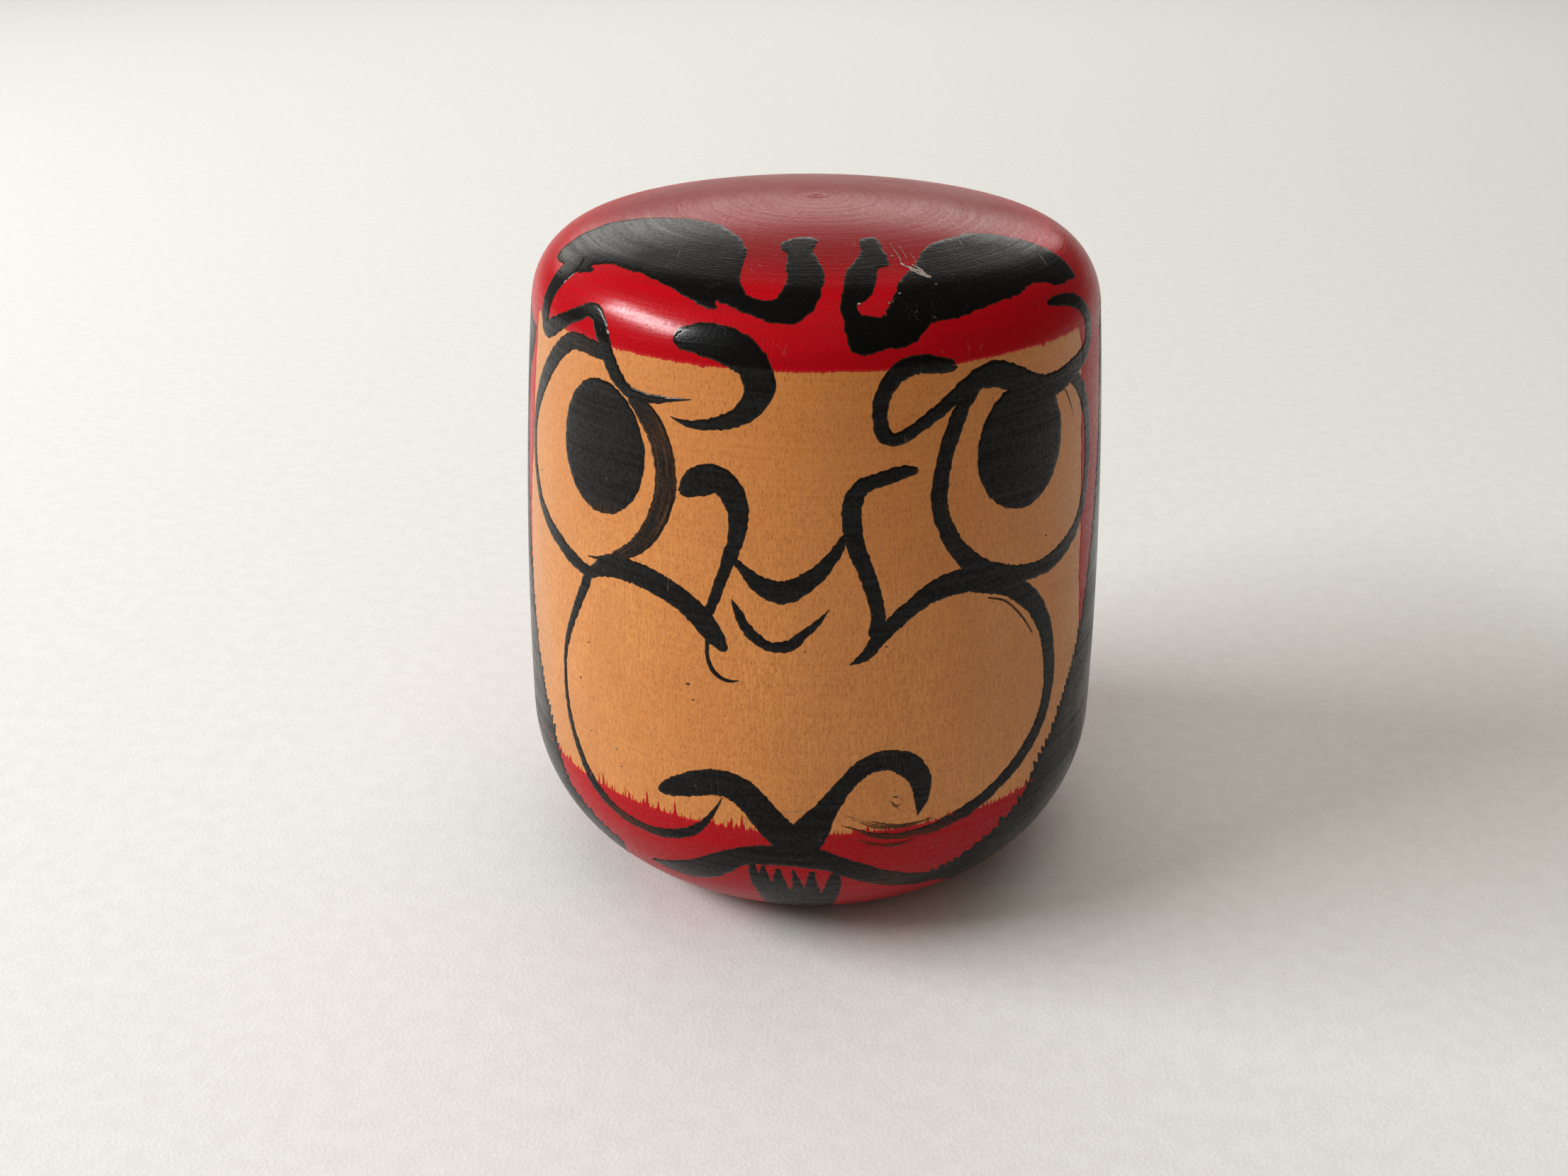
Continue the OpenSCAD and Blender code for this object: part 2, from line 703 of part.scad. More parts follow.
// Hooked nostril lines, each ending at the cheek's line.
module nostril_left() {
    color(ink)
    difference() {
        ink_on_wood(0, nose_tilt, side_only) painted_stroke(nostril_left_line, 0, nose_tilt);
        prism(left_az, cheek_tilt) cheek_outline_left();
    }
}

module nostril_right() {
    color(ink)
    difference() {
        ink_on_wood(0, nose_tilt, side_only) painted_stroke(nostril_right_line, 0, nose_tilt);
        prism(right_az, cheek_tilt) cheek_outline_right();
    }
}

// Curved tip of the nose between the nostril lines.
module nose_tip() {
    color(ink)
    ink_on_wood(0, nose_tilt, side_only)
    difference() {
        painted_stroke(nose_tip_line, 0, nose_tilt);
        painted_stroke(nostril_left_line, 0, nose_tilt);
        painted_stroke(nostril_right_line, 0, nose_tilt);
    }
}

// Small curve below the nose.
module lip_line() {
    color(ink)
    ink_on_wood(0, nose_tilt, side_only)
    painted_stroke(lip_curve, 0, nose_tilt);
}

module mouth_outline() {
    painted_stroke(mouth_left_line, 0, mouth_tilt);
    painted_stroke(mouth_right_line, 0, mouth_tilt);
    painted_stroke(mouth_bar_line, 0, mouth_tilt);
}

// Crossed moustache limbs and the bar under them.
module mouth() {
    color(ink)
    ink_on_both(0, mouth_tilt, low_side) mouth_outline();
}

// Outline of the beard: a row of tips up to the mouth and a blunt lower end.
function beard_edge() =
    let (
        pitch = 2 * beard_side / (beard_tips - 1),
        start = beard_shift - beard_side
    )
    concat(
        [
            for (i = [0 : beard_tips - 1])
            for (gap = [0, 1])
            if (gap == 0 || i < beard_tips - 1)
            [start + pitch * (i + gap / 2), beard_top - gap * beard_gap]
        ],
        [
            [beard_shift + beard_right, beard_shoulder],
            [beard_shift + beard_right, beard_low],
            [beard_shift + beard_left_low, beard_low],
            [beard_shift + beard_left_top, beard_shoulder]
        ]
    );

// Short beard under the mouth's bar.
module beard() {
    color(ink)
    ink_on_lacquer(0, mouth_tilt, low_side)
    difference() {
        drawn(beard_edge(), 0, mouth_tilt);
        mouth_outline();
    }
}

// Outline of one side's hair, its front edge notched by the bristles.
function hair_edge(front, under) =
    concat(
        bristled(front),
        under,
        [
            for (i = [0 : back_steps])
            let (share = i / back_steps)
            [
                -hair_back + hair_lean * share + hair_wave * sin(share * 360 * back_waves),
                hair_low + (hair_top - hair_low) * share
            ]
        ]
    );

// Hair of the left side, from its front edge and its lower edge.
module hair(front, under) {
    ink_on_both(-hair_az, hair_tilt, whole_side)
    drawn(hair_edge(front, under), -hair_az, hair_tilt);
}

module hair_left() {
    color(ink)
    hair(hair_left_front, hair_left_under);
}

// Right-hand hair, cleared where the mouth's bar was painted over it.
module hair_right() {
    color(ink)
    difference() {
        mirror([1, 0, 0]) hair(hair_right_front, hair_right_under);
        prism(0, mouth_tilt) painted_stroke(mouth_bar_line, 0, mouth_tilt);
    }
}

block();
hood();
robe();
hair_left();
hair_right();
brow_left();
brow_right();
eye_line_left();
eye_line_right();
pupil_left();
pupil_right();
crease_left();
nostril_left();
nostril_right();
nose_tip();
lip_line();
cheek_left();
cheek_right();
mouth();
beard();
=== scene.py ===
"""A turned wooden daruma doll: bare wood face, lacquered hood and robe, brushed ink features.

The paint is laid out on a wrapped sheet. A place on it is an angle in degrees round the doll
from the middle of the face, positive towards +X, and a rise in millimetres measured with a tape
up the outside from the edge of the flat foot to the crown.
"""

import logging
import math
from dataclasses import dataclass, field
from enum import Enum

import bpy
import numpy as np
from mathutils import Matrix, Vector
from mathutils.geometry import delaunay_2d_cdt


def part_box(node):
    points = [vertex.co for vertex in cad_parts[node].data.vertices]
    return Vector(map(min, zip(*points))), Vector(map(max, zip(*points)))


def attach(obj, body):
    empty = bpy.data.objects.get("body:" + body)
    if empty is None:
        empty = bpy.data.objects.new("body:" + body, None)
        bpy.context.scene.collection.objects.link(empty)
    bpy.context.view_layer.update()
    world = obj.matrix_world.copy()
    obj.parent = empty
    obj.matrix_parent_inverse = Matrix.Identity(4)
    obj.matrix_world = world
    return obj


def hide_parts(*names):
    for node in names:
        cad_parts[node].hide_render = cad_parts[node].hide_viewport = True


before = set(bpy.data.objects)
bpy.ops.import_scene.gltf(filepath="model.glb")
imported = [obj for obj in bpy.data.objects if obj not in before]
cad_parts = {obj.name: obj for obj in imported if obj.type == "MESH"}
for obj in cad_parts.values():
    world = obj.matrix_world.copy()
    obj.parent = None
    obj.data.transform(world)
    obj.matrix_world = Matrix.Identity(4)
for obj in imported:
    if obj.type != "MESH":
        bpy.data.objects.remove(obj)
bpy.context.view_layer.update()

MM = 0.001
LOG = logging.getLogger("daruma")

Line = tuple[tuple[float, float, float], ...]
Edge = tuple[tuple[float, float], ...]


class Slot(Enum):
    """Material slot names."""

    WOOD = "turned_wood"
    LACQUER = "red_lacquer"
    INK = "black_ink"


# ---------------------------------------------------------------- curves and noise


def smooth_step(low: float, high: float, x: np.ndarray) -> np.ndarray:
    """Rises smoothly from 0 at low to 1 at high.

    Args:
        low: Where the rise starts.
        high: Where the rise ends.
        x: The values to map.

    Returns:
        The mapped values, from 0 to 1.
    """
    t = np.clip((x - low) / (high - low), 0.0, 1.0)
    return t * t * (3.0 - 2.0 * t)


def ripple(x: np.ndarray, period: float, seed: int) -> np.ndarray:
    """Smooth seeded noise along one direction.

    Args:
        x: The positions.
        period: The distance between two random values.
        seed: The seed of the random values.

    Returns:
        Values from -1 to 1.
    """
    rng = np.random.default_rng(seed)
    cells = np.asarray(x, float) / period
    start = int(math.floor(cells.min())) - 1
    values = rng.uniform(-1.0, 1.0, int(math.ceil(cells.max())) - start + 3)
    index = np.floor(cells).astype(int)
    share = smooth_step(0.0, 1.0, cells - index)
    low, high = values[index - start], values[index - start + 1]
    return low * (1.0 - share) + high * share


def catmull_rom(p: np.ndarray, closed: bool, per_span: np.ndarray) -> np.ndarray:
    """Points on a smooth curve through the given points.

    Args:
        p: The points, one row each.
        closed: Whether the curve runs back to its first point.
        per_span: How many steps each span between two points gets.

    Returns:
        The curve's points, with the last one left out on a closed curve.
    """
    n, out = len(p), []
    for i, steps in enumerate(per_span):
        if closed:
            a, b, c, d = p[i - 1], p[i], p[(i + 1) % n], p[(i + 2) % n]
        else:
            a, b, c, d = p[max(i - 1, 0)], p[i], p[i + 1], p[min(i + 2, n - 1)]
        u = (np.arange(steps) / steps)[:, None]
        out.append(
            0.5
            * (
                2 * b
                + (c - a) * u
                + (2 * a - 5 * b + 4 * c - d) * u**2
                + (3 * b - a - 3 * c + d) * u**3
            )
        )
    if not closed:
        out.append(p[-1:])
    return np.concatenate(out)


# ---------------------------------------------------------------- the turned outline


@dataclass(frozen=True)
class TurnedOutline:
    """The block's outline: a lower corner, a long side, a shoulder and a domed crown."""

    width: float
    height: float
    widest_z: float = 16.0
    side_r: float = 600.0
    shoulder_r: float = 9.4
    crown_r: float = 130.0
    corner_r: float = 22.0
    dimple_w: float = 3.0
    dimple_d: float = 0.16
    sheet_len: float = 134.3

    @classmethod
    def of_block(cls, node: str) -> "TurnedOutline":
        """The outline with the width and height of a CAD node.

        Args:
            node: The CAD node's name.

        Returns:
            The outline in millimetres.
        """
        low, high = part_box(node)
        width = round((high.x - low.x) / MM)
        return cls(width=width, height=round((high.z - low.z) / MM))

    def arcs(self) -> list[tuple[np.ndarray, float, float, float]]:
        """Each arc's centre, radius, first direction and last direction in radians."""
        side = np.array([self.width / 2 - self.side_r, self.widest_z])
        crown = np.array([0.0, self.height - self.crown_r])
        drop = self.corner_r - self.widest_z
        across = math.sqrt((self.side_r - self.corner_r) ** 2 - drop**2)
        corner = np.array([side[0] + across, self.corner_r])
        r0, r1 = self.side_r - self.shoulder_r, self.crown_r - self.shoulder_r
        gap = float(np.linalg.norm(crown - side))
        along = (r0 * r0 - r1 * r1 + gap * gap) / (2 * gap)
        unit = (crown - side) / gap
        up = math.sqrt(r0 * r0 - along * along)
        normal = np.array([unit[1], -unit[0]]) * (1 if unit[1] > 0 else -1)
        shoulder = side + along * unit + up * normal
        corner_end = self.bearing(side, corner)
        side_end = self.bearing(side, shoulder)
        shoulder_end = self.bearing(crown, shoulder)
        return [
            (corner, self.corner_r, -math.pi / 2, corner_end),
            (side, self.side_r, corner_end, side_end),
            (shoulder, self.shoulder_r, side_end, shoulder_end),
            (crown, self.crown_r, shoulder_end, math.pi / 2),
        ]

    @staticmethod
    def bearing(start: np.ndarray, end: np.ndarray) -> float:
        """Direction in radians from one point to another."""
        return math.atan2(end[1] - start[1], end[0] - start[0])

    def at(self, rise: np.ndarray) -> tuple[np.ndarray, ...]:
        """Radius, height and outward direction of the outside.

        Args:
            rise: Rises in millimetres.

        Returns:
            Radius, height, and the outward normal's radial and upward parts.
        """
        arcs = self.arcs()
        lengths = [r * (a1 - a0) for _, r, a0, a1 in arcs]
        t = np.asarray(rise, float) * sum(lengths) / self.sheet_len
        direction = np.zeros_like(t)
        r_out, z_out = np.zeros_like(t), np.zeros_like(t)
        start = 0.0
        for (centre, r, a0, _), length in zip(arcs, lengths):
            inside = t >= start if start > 0 else np.ones_like(t, bool)
            turn = a0 + (t - start) / r
            direction = np.where(inside, turn, direction)
            r_out = np.where(inside, centre[0] + r * np.cos(turn), r_out)
            z_out = np.where(inside, centre[1] + r * np.sin(turn), z_out)
            start += length
        r_out = np.maximum(r_out, 0.0)
        dent = 1.0 - smooth_step(0.0, self.dimple_w / 2, r_out)
        top = z_out > self.height / 2
        z_out = z_out - np.where(top, self.dimple_d * dent, 0.0)
        return r_out, z_out, np.cos(direction), np.sin(direction)

    def place(self, angle: np.ndarray, rise: np.ndarray, lift: np.ndarray) -> np.ndarray:
        """Points in space for places on the sheet.

        Args:
            angle: Angles in degrees.
            rise: Rises in millimetres.
            lift: Distances above the bare wood in millimetres.

        Returns:
            One row of x, y and z in metres for each place.
        """
        r, z, nr, nz = self.at(rise)
        r = r + lift * nr
        a = np.radians(angle)
        return np.stack([r * np.sin(a), -r * np.cos(a), z + lift * nz], -1) * MM

    def per_degree(self, rise: np.ndarray) -> np.ndarray:
        """Millimetres along the outside for one degree."""
        return np.maximum(self.at(rise)[0], 0.5) * math.pi / 180


# ---------------------------------------------------------------- meshes


class MeshMaker:
    """Turns arrays of points and faces into objects that ride on the doll."""

    BODY = "root"

    @staticmethod
    def build(
        name: str,
        points: np.ndarray,
        faces: list[tuple[int, ...]],
        values: dict[str, np.ndarray],
        material: bpy.types.Material,
    ) -> bpy.types.Object:
        """Makes one smooth-shaded object.

        Args:
            name: The object's name.
            points: Its vertices in metres.
            faces: Its faces as vertex indices.
            values: Named values for each vertex, which the materials read.
            material: Its material.

        Returns:
            The new object, linked to the scene.
        """
        mesh = bpy.data.meshes.new(name)
        mesh.from_pydata(points.tolist(), [], faces)
        mesh.polygons.foreach_set("use_smooth", [True] * len(mesh.polygons))
        for key, value in values.items():
            layer = mesh.attributes.new(key, "FLOAT", "POINT")
            layer.data.foreach_set("value", np.asarray(value, np.float32))
        mesh.validate()
        mesh.update()
        mesh.materials.append(material)
        made = bpy.data.objects.new(name, mesh)
        bpy.context.scene.collection.objects.link(made)
        return made

    @staticmethod
    def grid_faces(rows: int, columns: int, start: int, wrap: bool) -> list[tuple[int, ...]]:
        """Faces of a grid whose vertices run along each row.

        Args:
            rows: Number of rows of vertices.
            columns: Number of vertices in a row.
            start: Index of the grid's first vertex.
            wrap: Whether the last column joins the first.

        Returns:
            The four-sided faces, facing out when rows rise and columns turn towards +X.
        """
        i = np.arange(rows - 1)[:, None]
        j = np.arange(columns if wrap else columns - 1)[None, :]
        k = (j + 1) % columns
        a, b = start + i * columns + j, start + i * columns + k
        quads = np.stack([a, b, b + columns, a + columns], -1).reshape(-1, 4)
        return [tuple(q) for q in quads.tolist()]

    @classmethod
    def finish(cls, made: bpy.types.Object, node: str | None, slot: Slot) -> None:
        """Lets a piece ride on the doll and stand for its CAD node.

        Args:
            made: The piece.
            node: The CAD node that it stands for, if any.
            slot: A material slot; not used.
        """
        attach(made, cls.BODY)
        if node:
            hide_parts(node)
        LOG.info("%s: %d faces", made.name, len(made.data.polygons))


# ---------------------------------------------------------------- node helpers


class NodeBoard:
    """Places nodes in one node tree and joins them."""

    def __init__(self, tree: bpy.types.NodeTree) -> None:
        """Keeps the tree to draw on."""
        self.tree = tree

    def add(self, kind: str, inputs: dict | None = None, **settings: object) -> bpy.types.Node:
        """Places one node.

        Args:
            kind: The node's type name.
            inputs: Values or sockets for its inputs, by name or number.
            settings: Properties of the node.

        Returns:
            The new node.
        """
        node = self.tree.nodes.new(kind)
        for key, value in settings.items():
            setattr(node, key, value)
        for key, value in (inputs or {}).items():
            if isinstance(value, bpy.types.NodeSocket):
                self.tree.links.new(value, node.inputs[key])
            else:
                node.inputs[key].default_value = value
        return node

    def math(self, operation: str, *values: object) -> bpy.types.NodeSocket:
        """One arithmetic step on numbers or sockets."""
        node = self.add("ShaderNodeMath", dict(enumerate(values)), operation=operation)
        return node.outputs[0]

    def attribute(self, name: str) -> bpy.types.NodeSocket:
        """A value stored on the mesh's vertices."""
        return self.add("ShaderNodeAttribute", attribute_name=name).outputs["Fac"]

    def ramp(
        self, value: bpy.types.NodeSocket, low: float, high: float, to: tuple[float, float]
    ) -> bpy.types.NodeSocket:
        """Maps a value smoothly from one range to another.

        Args:
            value: The value to map.
            low: The value that gives the first result.
            high: The value that gives the second result.
            to: The two results.

        Returns:
            The mapped value.
        """
        node = self.add(
            "ShaderNodeMapRange",
            {0: value, 1: low, 2: high, 3: to[0], 4: to[1]},
            interpolation_type="SMOOTHSTEP",
        )
        return node.outputs[0]

    def noise(
        self, vector: bpy.types.NodeSocket, scale: float, detail: float = 2.0
    ) -> bpy.types.NodeSocket:
        """Soft noise from 0 to 1 at a place."""
        inputs = {"Vector": vector, "Scale": scale, "Detail": detail}
        return self.add("ShaderNodeTexNoise", inputs).outputs["Fac"]

    def mix(
        self, share: object, first: object, second: object
    ) -> bpy.types.NodeSocket:
        """Blends two colours by a share from 0 to 1."""
        node = self.add("ShaderNodeMix", data_type="RGBA")
        for key, value in ((0, share), (6, first), (7, second)):
            if isinstance(value, bpy.types.NodeSocket):
                self.tree.links.new(value, node.inputs[key])
            else:
                node.inputs[key].default_value = value
        return node.outputs[2]


class EffectGroup:
    """A shader node group that several finishes share. A subclass draws its nodes."""

    NAME = ""
    INPUTS: tuple[tuple[str, str, float], ...] = ()
    OUTPUTS: tuple[tuple[str, str], ...] = ()

    def __init__(self) -> None:
        """Builds the group once."""
        self.tree = bpy.data.node_groups.new(self.NAME, "ShaderNodeTree")
        for name, kind, value in self.INPUTS:
            socket = self.tree.interface.new_socket(name, in_out="INPUT", socket_type=kind)
            if kind == "NodeSocketFloat":
                socket.default_value = value
        for name, kind in self.OUTPUTS:
            self.tree.interface.new_socket(name, in_out="OUTPUT", socket_type=kind)
        board = NodeBoard(self.tree)
        source = board.add("NodeGroupInput")
        sink = board.add("NodeGroupOutput")
        for name, value in self.draw(board, source).items():
            self.tree.links.new(value, sink.inputs[name])

    def draw(self, board: NodeBoard, source: bpy.types.Node) -> dict:
        """Draws the group's nodes and returns the socket for each output."""
        raise NotImplementedError

    def place(self, board: NodeBoard, inputs: dict) -> bpy.types.Node:
        """Places the group in a material.

        Args:
            board: The material's board.
            inputs: Values or sockets for the group's inputs.

        Returns:
            The group node.
        """
        node = board.add("ShaderNodeGroup", node_tree=self.tree)
        for key, value in inputs.items():
            if isinstance(value, bpy.types.NodeSocket):
                board.tree.links.new(value, node.inputs[key])
            else:
                node.inputs[key].default_value = value
        return node


FLOAT, VECTOR = "NodeSocketFloat", "NodeSocketVector"


class LatheLines(EffectGroup):
    """Fine rings that the turning tool and the abrasive leave round the doll."""

    NAME = "lathe_lines"
    INPUTS = (("Place", VECTOR, 0), ("Rise", FLOAT, 0), ("Pitch", FLOAT, 0.35))
    OUTPUTS = (("Height", FLOAT), ("Tone", FLOAT))

    def draw(self, board: NodeBoard, source: bpy.types.Node) -> dict:
        """Noise that is stretched round the doll and fine along the rise."""
        split = board.add("ShaderNodeSeparateXYZ", {0: source.outputs["Place"]})
        heights = []
        for round_scale, fineness in ((0.035, 1.0), (0.09, 2.7)):
            x = board.math("MULTIPLY", split.outputs[0], round_scale)
            y = board.math("MULTIPLY", split.outputs[1], round_scale)
            z = board.math("DIVIDE", source.outputs["Rise"], source.outputs["Pitch"])
            z = board.math("MULTIPLY", z, fineness)
            place = board.add("ShaderNodeCombineXYZ", {0: x, 1: y, 2: z}).outputs[0]
            heights.append(board.noise(place, 1.0, 1.0))
        height = board.math("ADD", heights[0], heights[1])
        height = board.math("MULTIPLY", height, 0.5)
        tone = board.ramp(height, 0.35, 0.65, (0.0, 1.0))
        return {"Height": height, "Tone": tone}


class GrainFlecks(EffectGroup):
    """Short dark flecks and fine fibres that run up a turned close-grained wood."""

    NAME = "grain_flecks"
    INPUTS = (("Place", VECTOR, 0), ("Rise", FLOAT, 0), ("Fleck size", FLOAT, 1.0))
    OUTPUTS = (("Flecks", FLOAT), ("Fibres", FLOAT), ("Figure", FLOAT))

    def stretched(
        self, board: NodeBoard, source: bpy.types.Node, across: float, up: float
    ) -> bpy.types.NodeSocket:
        """The place scaled by one factor round the doll and another along the rise."""
        split = board.add("ShaderNodeSeparateXYZ", {0: source.outputs["Place"]})
        x = board.math("MULTIPLY", split.outputs[0], across)
        y = board.math("MULTIPLY", split.outputs[1], across)
        z = board.math("MULTIPLY", source.outputs["Rise"], up)
        place = board.add("ShaderNodeCombineXYZ", {0: x, 1: y, 2: z}).outputs[0]
        size = board.add("ShaderNodeVectorMath", operation="SCALE")
        board.tree.links.new(place, size.inputs[0])
        inverse = board.math("DIVIDE", 1.0, source.outputs["Fleck size"])
        board.tree.links.new(inverse, size.inputs["Scale"])
        return size.outputs[0]

    def draw(self, board: NodeBoard, source: bpy.types.Node) -> dict:
        """Thin upright cells of three sizes, some of them dark, over fine fibres."""
        masks = []
        for across, up, reach in ((4.6, 1.9, 0.45), (3.3, 1.3, 0.40), (2.2, 0.8, 0.28)):
            cells = board.add(
                "ShaderNodeTexVoronoi",
                {"Vector": self.stretched(board, source, across, up), "Scale": 1.0},
            )
            chosen = board.add("ShaderNodeSeparateColor", {0: cells.outputs["Color"]})
            near = board.ramp(cells.outputs["Distance"], reach * 0.45, reach, (1.0, 0.0))
            some = board.ramp(chosen.outputs[0], 0.25, 1.0, (0.0, 1.0))
            masks.append(board.math("MULTIPLY", near, some))
        flecks = board.math("MAXIMUM", board.math("MAXIMUM", masks[0], masks[1]), masks[2])
        long = board.noise(self.stretched(board, source, 5.0, 0.35), 1.0, 2.0)
        short = board.noise(self.stretched(board, source, 3.4, 1.5), 1.0, 2.0)
        fibres = board.math("MULTIPLY", board.math("ADD", long, short), 0.5)
        figure = board.noise(self.stretched(board, source, 0.12, 0.05), 1.0, 3.0)
        return {"Flecks": flecks, "Fibres": fibres, "Figure": figure}


class HandlingWear(EffectGroup):
    """Rubbed patches and fine hair scratches on a finish that has been handled."""

    NAME = "handling_wear"
    INPUTS = (("Place", VECTOR, 0), ("Amount", FLOAT, 1.0))
    OUTPUTS = (("Rubbed", FLOAT), ("Scratches", FLOAT), ("Peel", FLOAT))

    def draw(self, board: NodeBoard, source: bpy.types.Node) -> dict:
        """Broad noise for rubbing, thin noise contours for scratches, fine noise for peel."""
        place = source.outputs["Place"]
        rubbed = board.ramp(board.noise(place, 0.09, 4.0), 0.42, 0.68, (0.0, 1.0))
        scratches = None
        for turn, seed in ((0.5, 3.0), (-0.9, 11.0)):
            mapped = board.add(
                "ShaderNodeMapping",
                {"Vector": place, "Location": (seed, seed, 0), "Rotation": (turn, 0.4, turn)},
            )
            mapped.inputs["Scale"].default_value = (0.7, 0.7, 0.03)
            contour = board.noise(mapped.outputs[0], 1.0, 1.0)
            gap = board.math("ABSOLUTE", board.math("SUBTRACT", contour, 0.5))
            thin = board.ramp(gap, 0.0015, 0.004, (1.0, 0.0))
            kept = board.ramp(board.noise(place, 0.16 + 0.01 * seed, 2.0), 0.6, 0.66, (0.0, 1.0))
            line = board.math("MULTIPLY", thin, kept)
            scratches = line if scratches is None else board.math("MAXIMUM", scratches, line)
        amount = source.outputs["Amount"]
        return {
            "Rubbed": board.math("MULTIPLY", rubbed, amount),
            "Scratches": board.math("MULTIPLY", scratches, amount),
            "Peel": board.noise(place, 2.6, 2.0),
        }


class BrushStreaks(EffectGroup):
    """Bristle streaks along a stroke, and how much of the surface the brush covers."""

    NAME = "brush_streaks"
    INPUTS = (
        ("Along", FLOAT, 0),
        ("Across", FLOAT, 0),
        ("Dry", FLOAT, 0),
        ("Bristle", FLOAT, 0.22),
    )
    OUTPUTS = (("Cover", FLOAT), ("Thin", FLOAT), ("Ridge", FLOAT))

    def draw(self, board: NodeBoard, source: bpy.types.Node) -> dict:
        """Noise stretched along the stroke, cut by how dry the brush is."""
        u = board.math("MULTIPLY", source.outputs["Along"], 0.16)
        v = board.math("DIVIDE", source.outputs["Across"], source.outputs["Bristle"])
        place = board.add("ShaderNodeCombineXYZ", {0: u, 1: v}).outputs[0]
        ridge = board.noise(place, 1.0, 2.0)
        u_short = board.math("MULTIPLY", source.outputs["Along"], 2.2)
        v_short = board.math("MULTIPLY", source.outputs["Across"], 3.0)
        speckle_place = board.add("ShaderNodeCombineXYZ", {0: u_short, 1: v_short})
        speckle = board.noise(speckle_place.outputs[0], 1.0, 2.0)
        mixed = board.math("MULTIPLY", ridge, 0.72)
        mixed = board.math("MULTIPLY_ADD", speckle, 0.28, mixed)
        dry = source.outputs["Dry"]
        limit = board.math("MULTIPLY_ADD", dry, 0.62, 0.02)
        over = board.math("SUBTRACT", mixed, limit)
        cover = board.ramp(over, -0.035, 0.03, (0.0, 1.0))
        damp = board.ramp(dry, 0.02, 0.5, (0.0, 1.0))
        thin = board.math("MULTIPLY", board.ramp(over, 0.0, 0.35, (1.0, 0.0)), damp)
        return {"Cover": cover, "Thin": thin, "Ridge": ridge}


# ---------------------------------------------------------------- finishes


@dataclass(frozen=True)
class Effects:
    """The shared effect groups, each built once."""

    lathe: LatheLines
    grain: GrainFlecks
    wear: HandlingWear
    streaks: BrushStreaks

    @classmethod
    def build(cls) -> "Effects":
        """Builds the four groups."""
        return cls(LatheLines(), GrainFlecks(), HandlingWear(), BrushStreaks())


class Finish:
    """Common start and end of every material."""

    def open(self, name: str) -> tuple[bpy.types.Material, NodeBoard, bpy.types.Node]:
        """Makes an empty material with its shader.

        Args:
            name: The material's name.

        Returns:
            The material, its node board and its shader node.
        """
        made = bpy.data.materials.new(name)
        made.use_nodes = True
        made.node_tree.nodes.clear()
        board = NodeBoard(made.node_tree)
        shader = board.add("ShaderNodeBsdfPrincipled")
        output = board.add("ShaderNodeOutputMaterial")
        made.node_tree.links.new(shader.outputs[0], output.inputs["Surface"])
        return made, board, shader

    def place(self, board: NodeBoard) -> bpy.types.NodeSocket:
        """The object's own coordinates in millimetres."""
        source = board.add("ShaderNodeTexCoord").outputs["Object"]
        scaled = board.add("ShaderNodeMapping", {"Vector": source})
        scaled.inputs["Scale"].default_value = (1 / MM, 1 / MM, 1 / MM)
        return scaled.outputs[0]

    def bump(
        self, board: NodeBoard, shader: bpy.types.Node, height: object, depth: float
    ) -> None:
        """Bumps a shader's surface.

        Args:
            board: The material's board.
            shader: The shader.
            height: The height's socket, from 0 to 1.
            depth: The height of the bumps in millimetres.
        """
        node = board.add("ShaderNodeBump", {"Height": height, "Distance": depth * MM})
        board.tree.links.new(node.outputs[0], shader.inputs["Normal"])

    def streaked_coat(
        self,
        board: NodeBoard,
        shader: bpy.types.Node,
        lathe: bpy.types.Node,
        wear: bpy.types.Node,
        weights: tuple[float, float],
    ) -> None:
        """Lets a shader's clear coat come and go along the lathe's rings.

        Args:
            board: The material's board.
            shader: The shader.
            lathe: The placed ring effect.
            wear: The placed wear effect.
            weights: The least and greatest weight of the coat.
        """
        share = board.math("MULTIPLY", lathe.outputs["Height"], 0.5)
        share = board.math("MULTIPLY_ADD", wear.outputs["Peel"], 0.5, share)
        weight = board.ramp(share, 0.38, 0.62, weights)
        board.tree.links.new(weight, shader.inputs["Coat Weight"])


